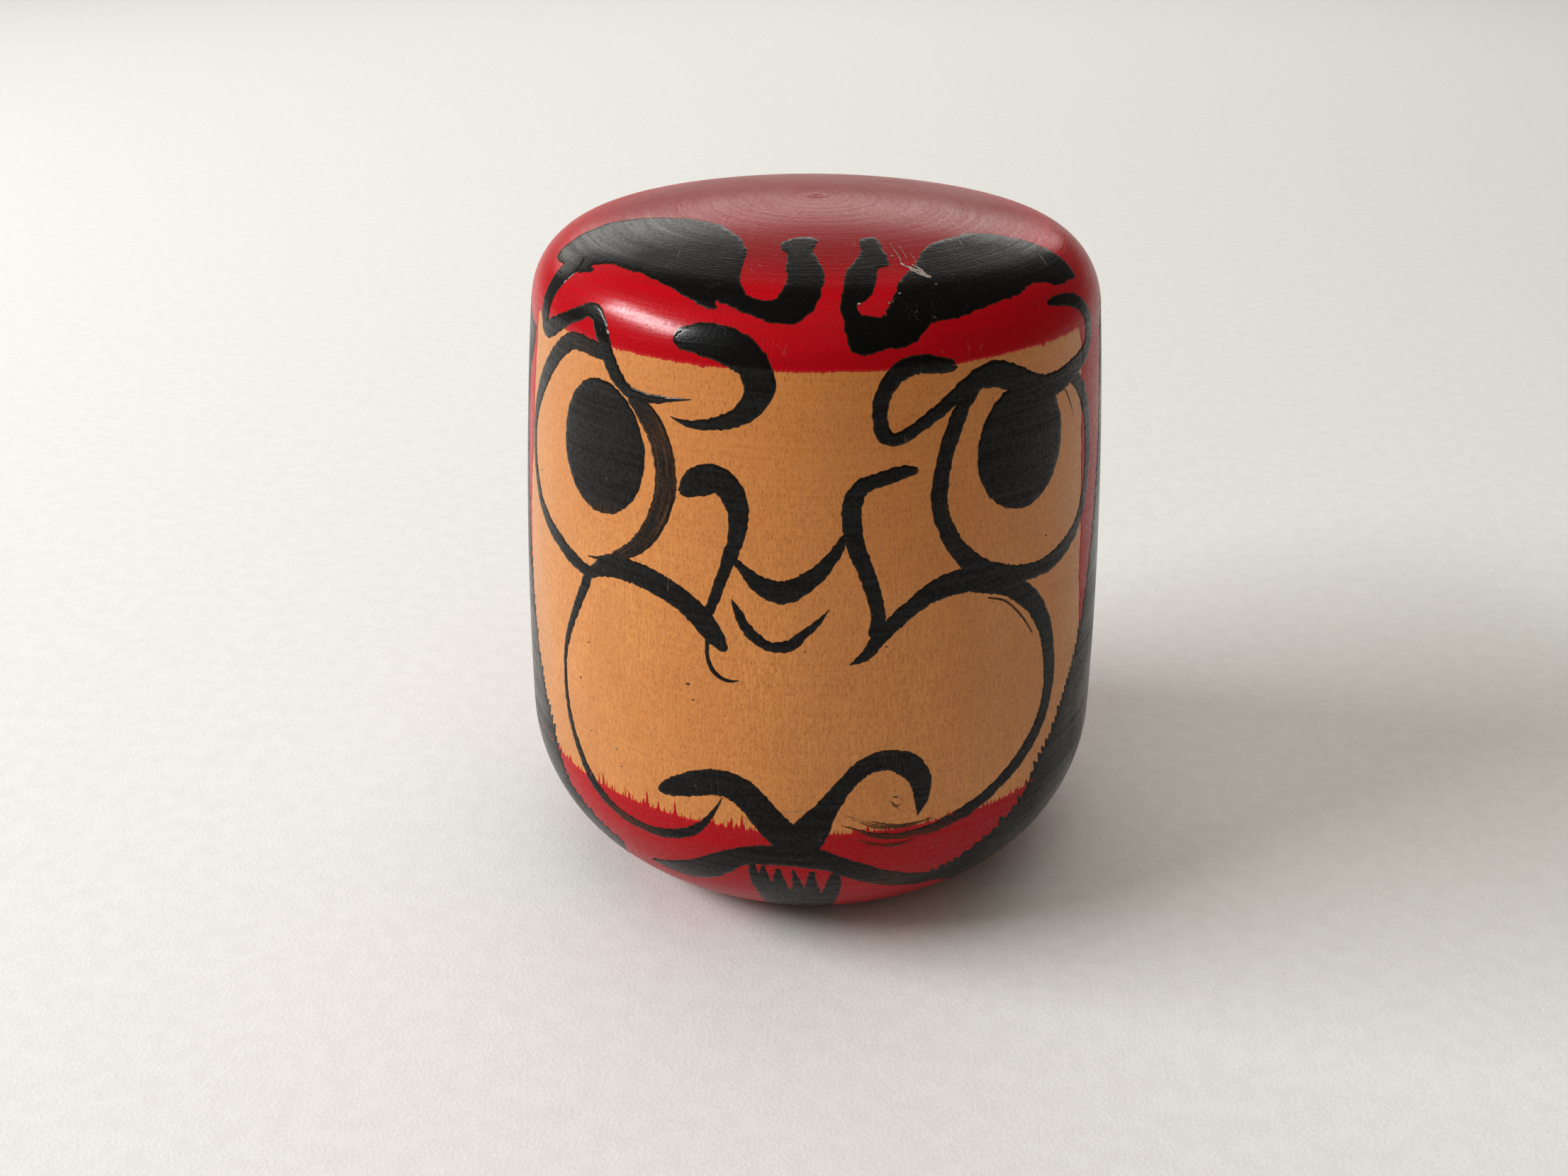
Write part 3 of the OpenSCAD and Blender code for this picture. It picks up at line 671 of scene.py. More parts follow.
@dataclass(frozen=True)
class TurnedWood(Finish):
    """Honey-coloured close-grained wood, waxed to a satin sheen."""

    effects: Effects
    light: tuple[float, ...] = (0.66, 0.292, 0.082, 1)
    deep: tuple[float, ...] = (0.46, 0.168, 0.034, 1)
    fleck: tuple[float, ...] = (0.24, 0.070, 0.012, 1)
    roughness: float = 0.42
    coat_roughness: float = 0.28

    def make(self) -> bpy.types.Material:
        """Builds the material for turned faces."""
        made, board, shader = self.open("turned_wood_satin")
        place, rise = self.place(board), board.attribute("rise")
        grain = self.effects.grain.place(board, {"Place": place, "Rise": rise})
        lathe = self.effects.lathe.place(board, {"Place": place, "Rise": rise, "Pitch": 0.3})
        wear = self.effects.wear.place(board, {"Place": place, "Amount": 0.7})
        body = board.mix(grain.outputs["Figure"], self.light, self.deep)
        # The wood is made darker up the face, from rise 58 to 94.
        darker_up_face = board.ramp(rise, 58.0, 94.0, (0.0, 0.55))
        body = board.mix(darker_up_face, body, self.deep)
        fibre = board.ramp(grain.outputs["Fibres"], 0.42, 0.58, (0.0, 0.8))
        body = board.mix(fibre, body, self.deep)
        tone = board.math("MULTIPLY", lathe.outputs["Tone"], 0.22)
        body = board.mix(tone, body, self.light)
        flecks = board.math("MULTIPLY", grain.outputs["Flecks"], 0.42)
        body = board.mix(flecks, body, self.fleck)
        board.tree.links.new(body, shader.inputs["Base Color"])
        rough = board.ramp(wear.outputs["Rubbed"], 0.0, 1.0, (self.roughness, 0.34))
        rough = board.math("MULTIPLY_ADD", grain.outputs["Flecks"], 0.15, rough)
        board.tree.links.new(rough, shader.inputs["Roughness"])
        shader.inputs["Specular IOR Level"].default_value = 0.3
        shader.inputs["Coat Weight"].default_value = 0.6
        shader.inputs["Coat Roughness"].default_value = self.coat_roughness
        height = board.math("MULTIPLY", lathe.outputs["Height"], 0.5)
        height = board.math("MULTIPLY_ADD", grain.outputs["Fibres"], 0.35, height)
        height = board.math("MULTIPLY_ADD", grain.outputs["Flecks"], -0.3, height)
        self.bump(board, shader, height, 0.07)
        return made

    def make_foot(self) -> bpy.types.Material:
        """Builds the material for the foot, where the growth rings show."""
        made, board, shader = self.open("turned_wood_end_grain")
        place = self.place(board)
        split = board.add("ShaderNodeSeparateXYZ", {0: place})
        wobble = board.noise(place, 0.12, 2.0)
        square = board.math("POWER", split.outputs[0], 2.0)
        square = board.math("MULTIPLY_ADD", split.outputs[1], split.outputs[1], square)
        radius = board.math("SQRT", square)
        radius = board.math("MULTIPLY_ADD", wobble, 2.4, radius)
        ring = board.add("ShaderNodeCombineXYZ", {2: board.math("MULTIPLY", radius, 0.62)})
        rings = board.noise(ring.outputs[0], 1.0, 3.0)
        pores = board.ramp(board.noise(place, 3.2, 2.0), 0.55, 0.7, (0.0, 0.5))
        share = board.ramp(rings, 0.38, 0.62, (0.0, 1.0))
        body = board.mix(share, self.light, self.deep)
        body = board.mix(pores, body, self.fleck)
        board.tree.links.new(body, shader.inputs["Base Color"])
        rough = board.ramp(rings, 0.3, 0.7, (0.6, 0.5))
        board.tree.links.new(rough, shader.inputs["Roughness"])
        height = board.math("MULTIPLY_ADD", pores, -0.8, rings)
        self.bump(board, shader, height, 0.05)
        return made


@dataclass(frozen=True)
class RedLacquer(Finish):
    """Deep crimson brushed on while the doll turns, glossy over fine rings."""

    effects: Effects
    body: tuple[float, ...] = (0.39, 0.003, 0.010, 1)
    deep: tuple[float, ...] = (0.26, 0.002, 0.006, 1)
    # crown: a darker red used as painted shade on the top of the dome
    crown: tuple[float, ...] = (0.20, 0.002, 0.005, 1)
    thin: tuple[float, ...] = (0.52, 0.035, 0.02, 1)
    roughness: float = 0.3
    coat_roughness: float = 0.2

    def make(self) -> bpy.types.Material:
        """Builds the material."""
        made, board, shader = self.open("red_lacquer_brushed")
        place, rise = self.place(board), board.attribute("rise")
        edge = board.attribute("edge")
        lathe = self.effects.lathe.place(board, {"Place": place, "Rise": rise, "Pitch": 0.7})
        grain = self.effects.grain.place(board, {"Place": place, "Rise": rise})
        wear = self.effects.wear.place(board, {"Place": place, "Amount": 1.0})
        tone = board.math("MULTIPLY", lathe.outputs["Tone"], 0.3)
        body = board.mix(tone, self.body, self.deep)
        flecks = board.math("MULTIPLY", grain.outputs["Flecks"], 0.25)
        body = board.mix(flecks, body, self.deep)
        # Painted shade: the red turns to the darker crown colour from rise 100 to 113, darkening the top
        # of the dome.
        crown_shade = board.ramp(rise, 100.0, 113.0, (0.0, 1.0))
        body = board.mix(crown_shade, body, self.crown)
        washed = board.ramp(edge, 0.0, 0.35, (0.55, 0.0))
        body = board.mix(washed, body, self.thin)
        scuffed = board.math("MULTIPLY", wear.outputs["Scratches"], 0.35)
        body = board.mix(scuffed, body, (0.6, 0.2, 0.16, 1))
        board.tree.links.new(body, shader.inputs["Base Color"])
        rough = board.ramp(wear.outputs["Rubbed"], 0.0, 1.0, (self.roughness, 0.38))
        rough = board.math("MULTIPLY_ADD", lathe.outputs["Tone"], 0.06, rough)
        board.tree.links.new(rough, shader.inputs["Roughness"])
        shader.inputs["Specular IOR Level"].default_value = 0.04
        self.streaked_coat(board, shader, lathe, wear, (0.24, 0.56))
        shader.inputs["Coat Roughness"].default_value = self.coat_roughness
        height = board.math("MULTIPLY", lathe.outputs["Height"], 0.8)
        height = board.math("MULTIPLY_ADD", wear.outputs["Peel"], 0.55, height)
        height = board.math("MULTIPLY_ADD", grain.outputs["Fibres"], 0.3, height)
        height = board.math("MULTIPLY_ADD", wear.outputs["Scratches"], -0.4, height)
        self.bump(board, shader, height, 0.09)
        return made


@dataclass(frozen=True)
class BrushInk(Finish):
    """Black brushed ink under thin wax, brown and see-through where the brush ran dry."""

    effects: Effects
    body: tuple[float, ...] = (0.0045, 0.0043, 0.0040, 1)
    thin: tuple[float, ...] = (0.085, 0.040, 0.017, 1)
    roughness: float = 0.31
    coat_roughness: float = 0.19

    def make(self) -> bpy.types.Material:
        """Builds the material."""
        made, board, shader = self.open("black_ink_brushed")
        place, rise = self.place(board), board.attribute("rise")
        dry, edge = board.attribute("dry"), board.attribute("edge")
        streaks = self.effects.streaks.place(
            board,
            {
                "Along": board.attribute("along"),
                "Across": board.attribute("across"),
                "Dry": dry,
            },
        )
        lathe = self.effects.lathe.place(board, {"Place": place, "Rise": rise, "Pitch": 0.7})
        wear = self.effects.wear.place(board, {"Place": place, "Amount": 1.0})
        rim = board.ramp(edge, 0.02, 0.22, (0.4, 0.0))
        thin = board.math("MAXIMUM", streaks.outputs["Thin"], rim)
        body = board.mix(thin, self.body, self.thin)
        scuffed = board.math("MULTIPLY", wear.outputs["Scratches"], 0.3)
        body = board.mix(scuffed, body, (0.24, 0.2, 0.17, 1))
        board.tree.links.new(body, shader.inputs["Base Color"])
        seen = board.math("MULTIPLY", streaks.outputs["Thin"], -0.45)
        seen = board.math("ADD", 1.0, seen)
        cover = board.math("MULTIPLY", streaks.outputs["Cover"], seen)
        board.tree.links.new(cover, shader.inputs["Alpha"])
        rough = board.ramp(wear.outputs["Rubbed"], 0.0, 1.0, (self.roughness, 0.44))
        board.tree.links.new(rough, shader.inputs["Roughness"])
        shader.inputs["Specular IOR Level"].default_value = 0.1
        self.streaked_coat(board, shader, lathe, wear, (0.14, 0.5))
        shader.inputs["Coat Roughness"].default_value = self.coat_roughness
        height = board.math("MULTIPLY", lathe.outputs["Height"], 0.7)
        height = board.math("MULTIPLY_ADD", wear.outputs["Peel"], 0.55, height)
        height = board.math("MULTIPLY_ADD", streaks.outputs["Ridge"], 0.3, height)
        self.bump(board, shader, height, 0.08)
        return made


@dataclass(frozen=True)
class ChippedGround(Finish):
    """Pale torn wood and powdery primer in the bottom of a chip or scratch."""

    effects: Effects
    pale: tuple[float, ...] = (0.34, 0.30, 0.26, 1)
    dirty: tuple[float, ...] = (0.10, 0.06, 0.05, 1)

    def make(self) -> bpy.types.Material:
        """Builds the material."""
        made, board, shader = self.open("chipped_ground")
        place = self.place(board)
        dry, edge = board.attribute("dry"), board.attribute("edge")
        streaks = self.effects.streaks.place(
            board,
            {
                "Along": board.attribute("along"),
                "Across": board.attribute("across"),
                "Dry": dry,
                "Bristle": 0.1,
            },
        )
        crumb = board.noise(place, 4.0, 3.0)
        body = board.mix(board.ramp(crumb, 0.4, 0.65, (0.0, 1.0)), self.pale, self.dirty)
        board.tree.links.new(body, shader.inputs["Base Color"])
        soft = board.ramp(edge, 0.0, 0.05, (0.0, 1.0))
        cover = board.math("MULTIPLY", streaks.outputs["Cover"], soft)
        board.tree.links.new(cover, shader.inputs["Alpha"])
        shader.inputs["Roughness"].default_value = 0.75
        self.bump(board, shader, crumb, 0.04)
        return made


@dataclass(frozen=True)
class DarkSpeck(Finish):
    """Tiny bark-brown pin knots and dirt caught in the wax."""

    effects: Effects

    def make(self) -> bpy.types.Material:
        """Builds the material."""
        made, board, shader = self.open("dark_speck")
        crumb = board.noise(self.place(board), 5.0, 2.0)
        body = board.mix(crumb, (0.035, 0.016, 0.008, 1), (0.12, 0.05, 0.02, 1))
        board.tree.links.new(body, shader.inputs["Base Color"])
        soft = board.ramp(board.attribute("edge"), 0.0, 0.12, (0.0, 0.9))
        board.tree.links.new(soft, shader.inputs["Alpha"])
        shader.inputs["Roughness"].default_value = 0.5
        self.bump(board, shader, crumb, 0.03)
        return made


@dataclass(frozen=True)
class PalePaper(Finish):
    """The soft white paper that the doll stands on."""

    light: tuple[float, ...] = (0.64, 0.636, 0.62, 1)
    shade: tuple[float, ...] = (0.61, 0.605, 0.588, 1)

    def make(self) -> bpy.types.Material:
        """Builds the material."""
        made, board, shader = self.open("pale_paper")
        place = self.place(board)
        cloud = board.noise(place, 0.35, 3.0)
        fibre = board.noise(place, 2.0, 3.0)
        share = board.math("MULTIPLY_ADD", cloud, 0.5, board.math("MULTIPLY", fibre, 0.5))
        body = board.mix(board.ramp(share, 0.4, 0.6, (0.0, 1.0)), self.light, self.shade)
        board.tree.links.new(body, shader.inputs["Base Color"])
        shader.inputs["Roughness"].default_value = 0.85
        shader.inputs["Specular IOR Level"].default_value = 0.2
        self.bump(board, shader, fibre, 0.06)
        return made


# ---------------------------------------------------------------- wood and lacquer


@dataclass(frozen=True)
class LacquerEdges:
    """Where the red coat ends against the bare face, and how thick it is near its edge."""

    outline: TurnedOutline
    coat: float = 0.05
    taper: float = 0.22
    hood_rise: float = 93.5
    robe_rise: float = 34.6
    hem_rise: float = 4.0
    left_side: Edge = ((34, -66.5), (60, -67.8), (70, -67.5), (75, -66), (85, -65.2), (94, -64))
    right_side: Edge = (
        (34, 66.8),
        (53, 66.5),
        (60, 65.3),
        (72, 65),
        (80, 64.5),
        (91, 65),
        (94, 63.2),
    )
    bleeds: Edge = ((-38, 1.9), (-27, 2.4), (-21, 2.1), (-8, 2.3), (-24.5, 1.4), (26, 0.9))

    def ring_above(self, angle: np.ndarray) -> np.ndarray:
        """Rise of the hood's lower edge round the doll, slightly ragged."""
        ragged = 0.07 * ripple(angle, 0.5, 21) + 0.05 * ripple(angle, 0.17, 22)
        drips = np.maximum(ripple(angle, 0.35, 23) - 0.62, 0.0) * 0.9
        return self.hood_rise + ragged - drips + 0.12 * ripple(angle, 9.0, 24)

    def ring_below(self, angle: np.ndarray) -> np.ndarray:
        """Rise of the robe's upper edge below the face, with red wicked up the grain."""
        rise = self.robe_rise + 0.12 * ripple(angle, 7.0, 31) + 0.05 * ripple(angle, 0.3, 32)
        density = 0.5 + 0.5 * ripple(angle, 5.0, 33) + 0.35 * smooth_step(10, -30, angle)
        wick = np.maximum(ripple(angle, 0.28, 34) - 0.25, 0.0) * 1.5 * np.clip(density, 0, 1)
        wick = wick + np.maximum(ripple(angle, 0.2, 35) - 0.55, 0.0) * 3.2 * np.clip(density, 0, 1)
        for middle, height in self.bleeds:
            wick = np.maximum(wick, height * np.exp(-(((angle - middle) / 0.22) ** 2)))
        return rise + wick

    def side(self, rise: np.ndarray, right: bool) -> np.ndarray:
        """Angle of the robe's edge beside the face at a rise."""
        edge = np.array(self.right_side if right else self.left_side)
        ragged = 0.22 * ripple(rise, 1.1, 41 + right) + 0.12 * ripple(rise, 0.35, 43 + right)
        return np.interp(rise, edge[:, 0], edge[:, 1]) + ragged

    def depth(self, angle: np.ndarray, rise: np.ndarray) -> np.ndarray:
        """Distance in millimetres from the coat's edge, positive on the lacquer.

        Args:
            angle: Angles in degrees from -180 to 180.
            rise: Rises in millimetres.

        Returns:
            The signed distances.
        """
        k = self.outline.per_degree(rise)
        to_side = np.maximum(
            (angle - self.side(rise, True)) * k, (self.side(rise, False) - angle) * k
        )
        to_ring = np.maximum(rise - self.ring_above(angle), self.ring_below(angle) - rise)
        return np.maximum(to_side, to_ring)

    def thickness(self, angle: np.ndarray, rise: np.ndarray) -> np.ndarray:
        """Height of the outside above the bare wood in millimetres."""
        return self.coat * smooth_step(-0.1, self.taper, self.depth(angle, rise))


@dataclass
class Block:
    """The solid turned block with its flat foot."""

    outline: TurnedOutline
    columns: int = 720
    row_step: float = 0.5
    foot_rows: int = 24

    def build(self, wood: TurnedWood) -> None:
        """Builds the block and dresses it.

        Args:
            wood: The wood's finish.
        """
        rise = np.arange(0, self.outline.sheet_len, self.row_step)
        rise = np.append(rise, self.outline.sheet_len - 0.02)
        angle = np.arange(self.columns) * 360.0 / self.columns
        a, t = np.meshgrid(angle, rise)
        points = self.outline.place(a.ravel(), t.ravel(), np.zeros(a.size))
        faces = MeshMaker.grid_faces(len(rise), self.columns, 0, True)
        foot_r = self.outline.at(np.zeros(1))[0][0]
        shares = np.linspace(0.02, 1.0, self.foot_rows)
        fa, fs = np.meshgrid(angle, shares)
        fa, fr = np.radians(fa.ravel()), fs.ravel() * foot_r
        foot = np.stack([fr * np.sin(fa), -fr * np.cos(fa), 0 * fr], -1) * MM
        start = len(points)
        foot_faces = MeshMaker.grid_faces(self.foot_rows, self.columns, start, True)
        hub = start + len(foot)
        foot_faces += [(start + (j + 1) % self.columns, start + j, hub) for j in range(self.columns)]
        points = np.concatenate([points, foot, np.zeros((1, 3))])
        rises = np.concatenate([t.ravel(), np.zeros(len(foot) + 1)])
        made = MeshMaker.build(
            "turned_block", points, faces + foot_faces, {"rise": rises}, wood.make()
        )
        made.data.materials.append(wood.make_foot())
        index = np.zeros(len(made.data.polygons), np.int32)
        index[len(faces):] = 1
        made.data.polygons.foreach_set("material_index", index)
        MeshMaker.finish(made, "block", Slot.WOOD)


@dataclass
class RedCoat:
    """The hood and the robe, each brushed on up to a ring or a ragged edge."""

    edges: LacquerEdges
    fine_step: float = 0.1
    coarse_step: float = 0.5

    def hood_rows(self) -> np.ndarray:
        """Distances above the hood's lower edge, close together near the edge."""
        near = np.array([0, 0.04, 0.09, 0.15, 0.22, 0.35])
        far = np.arange(0.6, self.edges.outline.sheet_len - self.edges.hood_rise, 0.5)
        return np.append(np.concatenate([near, far]), 40.75)

    def build_hood(self, material: bpy.types.Material) -> None:
        """Builds the red coat of the crown and shoulder.

        Args:
            material: The lacquer.
        """
        angle = np.arange(-180.0, 180.0, 0.25)
        a, up = np.meshgrid(angle, self.hood_rows())
        edge = self.edges.ring_above(angle)[None, :]
        total = self.edges.outline.sheet_len - self.edges.hood_rise
        rise = edge + up * (self.edges.outline.sheet_len - 0.03 - edge) / total
        rise = np.minimum(rise, self.edges.outline.sheet_len - 0.03)
        bare = np.abs(angle) < 64.5
        taper = smooth_step(-0.03, self.edges.taper, up)
        lift = self.edges.coat * np.where(bare[None, :], taper, 1.0) - 0.004 * (up == 0)
        depth = np.where(bare[None, :], up, 3.0)
        points = self.edges.outline.place(a.ravel(), rise.ravel(), lift.ravel())
        faces = MeshMaker.grid_faces(*a.shape, 0, True)
        values = {"rise": rise.ravel(), "edge": depth.ravel()}
        made = MeshMaker.build("hood_lacquer", points, faces, values, material)
        MeshMaker.finish(made, "hood", Slot.LACQUER)

    def lower_grid(self) -> tuple[np.ndarray, np.ndarray, np.ndarray]:
        """Angles, rises and edge distances of the robe below the face's lower ring."""
        side = 66.6
        angle = np.concatenate(
            [
                np.arange(-180.0, -side, self.coarse_step),
                np.arange(-side, side, self.fine_step),
                np.arange(side, 180.0, self.coarse_step),
            ]
        )
        near = np.array([0, 0.05, 0.1, 0.16, 0.24, 0.4, 0.7, 1.2, 2.0, 3.0])
        in_face = np.abs(angle) < side
        top = np.where(in_face, self.edges.ring_below(angle), self.edges.robe_rise)
        hem = self.edges.hem_rise + 0.25 * ripple(angle, 6.0, 51)
        far = np.linspace(0.0, 1.0, 40)[1:]
        rows = [top - d for d in near]
        rows += [rows[-1] + (hem - rows[-1]) * s for s in far]
        rise = np.stack(rows[::-1])
        depth = np.where(in_face, top - rise, 3.0)
        return np.broadcast_to(angle, rise.shape), rise, depth

    def side_grid(self) -> tuple[np.ndarray, np.ndarray, np.ndarray]:
        """Angles, rises and edge distances of the robe beside and behind the face."""
        rise = np.arange(self.edges.robe_rise, self.edges.hood_rise + 0.01, 0.38)
        start, end = self.edges.side(rise, True), 360 + self.edges.side(rise, False)
        near = np.array([0, 0.05, 0.1, 0.16, 0.24, 0.4, 0.7])
        k = self.edges.outline.per_degree(rise)
        low, high = start + 1.2 / k, end - 1.2 / k
        columns = [start + d / k for d in near]
        columns += [low + (high - low) * s for s in np.linspace(0.0, 1.0, 440)]
        columns += [end - d / k for d in near[::-1]]
        angle = np.stack(columns, 1)
        rises = np.repeat(rise[:, None], angle.shape[1], 1)
        depth = np.minimum((angle - start[:, None]) * k[:, None], (end[:, None] - angle) * k[:, None])
        return angle, rises, depth

    def build_robe(self, material: bpy.types.Material) -> None:
        """Builds the red coat below the face and round the sides and back.

        Args:
            material: The lacquer.
        """
        points, faces, rises, depths = [], [], [], []
        start = 0
        for number, (a, t, d) in enumerate((self.lower_grid(), self.side_grid())):
            lift = self.edges.coat * smooth_step(-0.03, self.edges.taper, d) - 0.004 * (d <= 0)
            points.append(self.edges.outline.place(a.ravel(), t.ravel(), lift.ravel()))
            faces += MeshMaker.grid_faces(*a.shape, start, number == 0)
            rises.append(t.ravel())
            depths.append(np.minimum(d, t - self.edges.hem_rise + 0.02).ravel())
            start += a.size
        values = {"rise": np.concatenate(rises), "edge": np.concatenate(depths)}
        made = MeshMaker.build("robe_lacquer", np.concatenate(points), faces, values, material)
        MeshMaker.finish(made, "robe", Slot.LACQUER)


# ---------------------------------------------------------------- brushed ink


@dataclass
class InkMesh:
    """Collects the strokes and patches of one inked feature into one mesh."""

    edges: LacquerEdges
    name: str
    seed: int
    points: list = field(default_factory=list)
    faces: list = field(default_factory=list)
    values: dict = field(default_factory=dict)
    count: int = 0
    layers: int = 0
    ink: float = 0.05
    layer_gap: float = 0.012
    taper: float = 0.26

    def append(
        self,
        angle: np.ndarray,
        rise: np.ndarray,
        edge: np.ndarray,
        faces: list[tuple[int, ...]],
        values: dict[str, np.ndarray],
    ) -> None:
        """Adds one layer of ink.

        Args:
            angle: The vertices' angles.
            rise: The vertices' rises.
            edge: Their distances in from the ink's edge in millimetres.
            faces: The faces, counted from the layer's first vertex.
            values: The brush's values for each vertex.
        """
        body = self.ink + self.layer_gap * self.layers
        lift = self.edges.thickness(angle, rise) - 0.006
        lift = lift + (body + 0.006) * smooth_step(-0.02, self.taper, edge)
        self.points.append(self.edges.outline.place(angle, rise, lift))
        self.faces += [tuple(i + self.count for i in f) for f in faces]
        for key, value in {"rise": rise, "edge": edge, **values}.items():
            self.values.setdefault(key, []).append(value)
        self.count += len(angle)
        self.layers += 1

    def finish(self, node: str | None, slot: Slot, material: bpy.types.Material) -> None:
        """Builds the object.

        Args:
            node: The CAD node that it stands for, if any.
            slot: A material slot, passed on but not used.
            material: Its finish.
        """
        values = {k: np.concatenate(v) for k, v in self.values.items()}
        made = MeshMaker.build(
            self.name, np.concatenate(self.points), self.faces, values, material
        )
        MeshMaker.finish(made, node, slot)


@dataclass(frozen=True)
class Stroke:
    """One pass of the brush along a line of angle, rise and breadth."""

    line: Line
    dry: tuple[float, ...] = (0.0, 0.0)
    dry_side: float = 0.0
    ragged: float = 0.09
    wick: float = 0.16
    step: float = 0.16
    cap_rings: int = 5
    frayed: tuple[float, float] = (0.0, 0.0)
    across: tuple[float, ...] = (-1, -0.93, -0.84, -0.7, -0.45, -0.15, 0.15, 0.45, 0.7, 0.84, 0.93, 1)

    def centre(self, outline: TurnedOutline) -> tuple[np.ndarray, np.ndarray]:
        """The line's points and the distance along it, in millimetres of the real doll."""
        p = np.array(self.line, float)
        k = outline.per_degree(p[:, 1])
        spans = np.hypot(np.diff(p[:, 0]) * k[1:], np.diff(p[:, 1]))
        steps = np.maximum(np.ceil(spans / self.step).astype(int), 2)
        c = catmull_rom(p, False, steps)
        k = outline.per_degree(c[:, 1])
        along = np.hypot(np.diff(c[:, 0]) * k[1:], np.diff(c[:, 1]))
        return c, np.concatenate([[0.0], np.cumsum(along)])

    def lay(self, mesh: InkMesh) -> None:
        """Adds the stroke to a feature's mesh.

        Args:
            mesh: The feature's mesh.
        """
        outline, seed = mesh.edges.outline, mesh.seed + 17 * mesh.layers
        c, along = self.centre(outline)
        k = outline.per_degree(c[:, 1])
        du = np.gradient(c[:, 0]) * k
        dv = np.gradient(c[:, 1])
        length = np.maximum(np.hypot(du, dv), 1e-9)
        du, dv = du / length, dv / length
        half = np.maximum(c[:, 2] / 2, 0.05)
        phi = np.linspace(0.0, math.pi / 2, self.cap_rings + 1)[1:]
        head = half[0] * np.sin(phi)[::-1] * 0.92
        tail = half[-1] * np.sin(phi) * 0.92
        x = np.concatenate([c[0, 0] - head * du[0] / k[0], c[:, 0], c[-1, 0] + tail * du[-1] / k[-1]])
        y = np.concatenate([c[0, 1] - head * dv[0], c[:, 1], c[-1, 1] + tail * dv[-1]])
        w = np.concatenate([half[0] * np.cos(phi)[::-1], half, half[-1] * np.cos(phi)])
        s = np.concatenate([-head, along, along[-1] + tail])
        ends = self.cap_rings
        nu = np.concatenate([[-dv[0]] * ends, -dv, [-dv[-1]] * ends])
        nv = np.concatenate([[du[0]] * ends, du, [du[-1]] * ends])
        kk = outline.per_degree(y)
        side = np.array(self.across)
        share = np.clip(w / 0.5, 0.25, 1.0)
        angle = np.zeros((len(x), len(side)))
        rise, edge = angle.copy(), angle.copy()
        for j, v in enumerate(side):
            sign = 1 if v > 0 else -1
            rough = self.ragged * ripple(s, 0.45, seed + sign) + 0.6 * self.ragged * ripple(
                s, 1.7, seed + 3 * sign
            )
            reach = np.maximum(w + rough * share, 0.02)
            off = v * reach
            angle[:, j] = x + off * nu / kk
            rise[:, j] = y + off * nv
            edge[:, j] = (1 - abs(v)) * reach
            if abs(v) == 1:
                outward = sign * nv
                spike = np.maximum(ripple(angle[:, j] * kk, 0.16, seed + 7) - 0.1, 0.0)
                rise[:, j] += self.wick * spike * outward * share
        self.fray(angle, rise, s, du, dv, k, seed)
        dry = np.interp(s / along[-1], np.linspace(0, 1, len(self.dry)), self.dry)
        grid = np.ones_like(angle)
        lean = np.clip(dry[:, None] * (1 + self.dry_side * side[None, :]), 0, 1)
        values = {
            "along": (s[:, None] * grid).ravel() + 31.0 * mesh.layers,
            "across": (side[None, :] * w[:, None]).ravel() + 7.0 * mesh.layers,
            "dry": lean.ravel(),
        }
        faces = MeshMaker.grid_faces(len(x), len(side), 0, False)
        faces = [tuple(reversed(f)) for f in faces]
        mesh.append(angle.ravel(), rise.ravel(), edge.ravel(), faces, values)

    def fray(
        self,
        angle: np.ndarray,
        rise: np.ndarray,
        s: np.ndarray,
        du: np.ndarray,
        dv: np.ndarray,
        k: np.ndarray,
        seed: int,
    ) -> None:
        """Pulls the bristles at the stroke's ends out to different lengths.

        Args:
            angle: The grid's angles, changed in place.
            rise: The grid's rises, changed in place.
            s: Distance along the stroke for each row.
            du: The line's direction round the doll.
            dv: The line's direction up the doll.
            k: Millimetres for a degree along the line.
            seed: The seed of the lengths.
        """
        rng = np.random.default_rng(seed)
        for end, amount in ((0, self.frayed[0]), (-1, self.frayed[1])):
            if amount <= 0:
                continue
            start = s[0] if end == 0 else s[-1]
            near = np.clip(1 - np.abs(s - start) / 1.6, 0, 1)[:, None]
            pull = rng.uniform(-1.0, 1.0, angle.shape[1])[None, :] * amount * near
            sign = -1 if end == 0 else 1
            angle += sign * pull * du[end] / k[end]
            rise += sign * pull * dv[end]


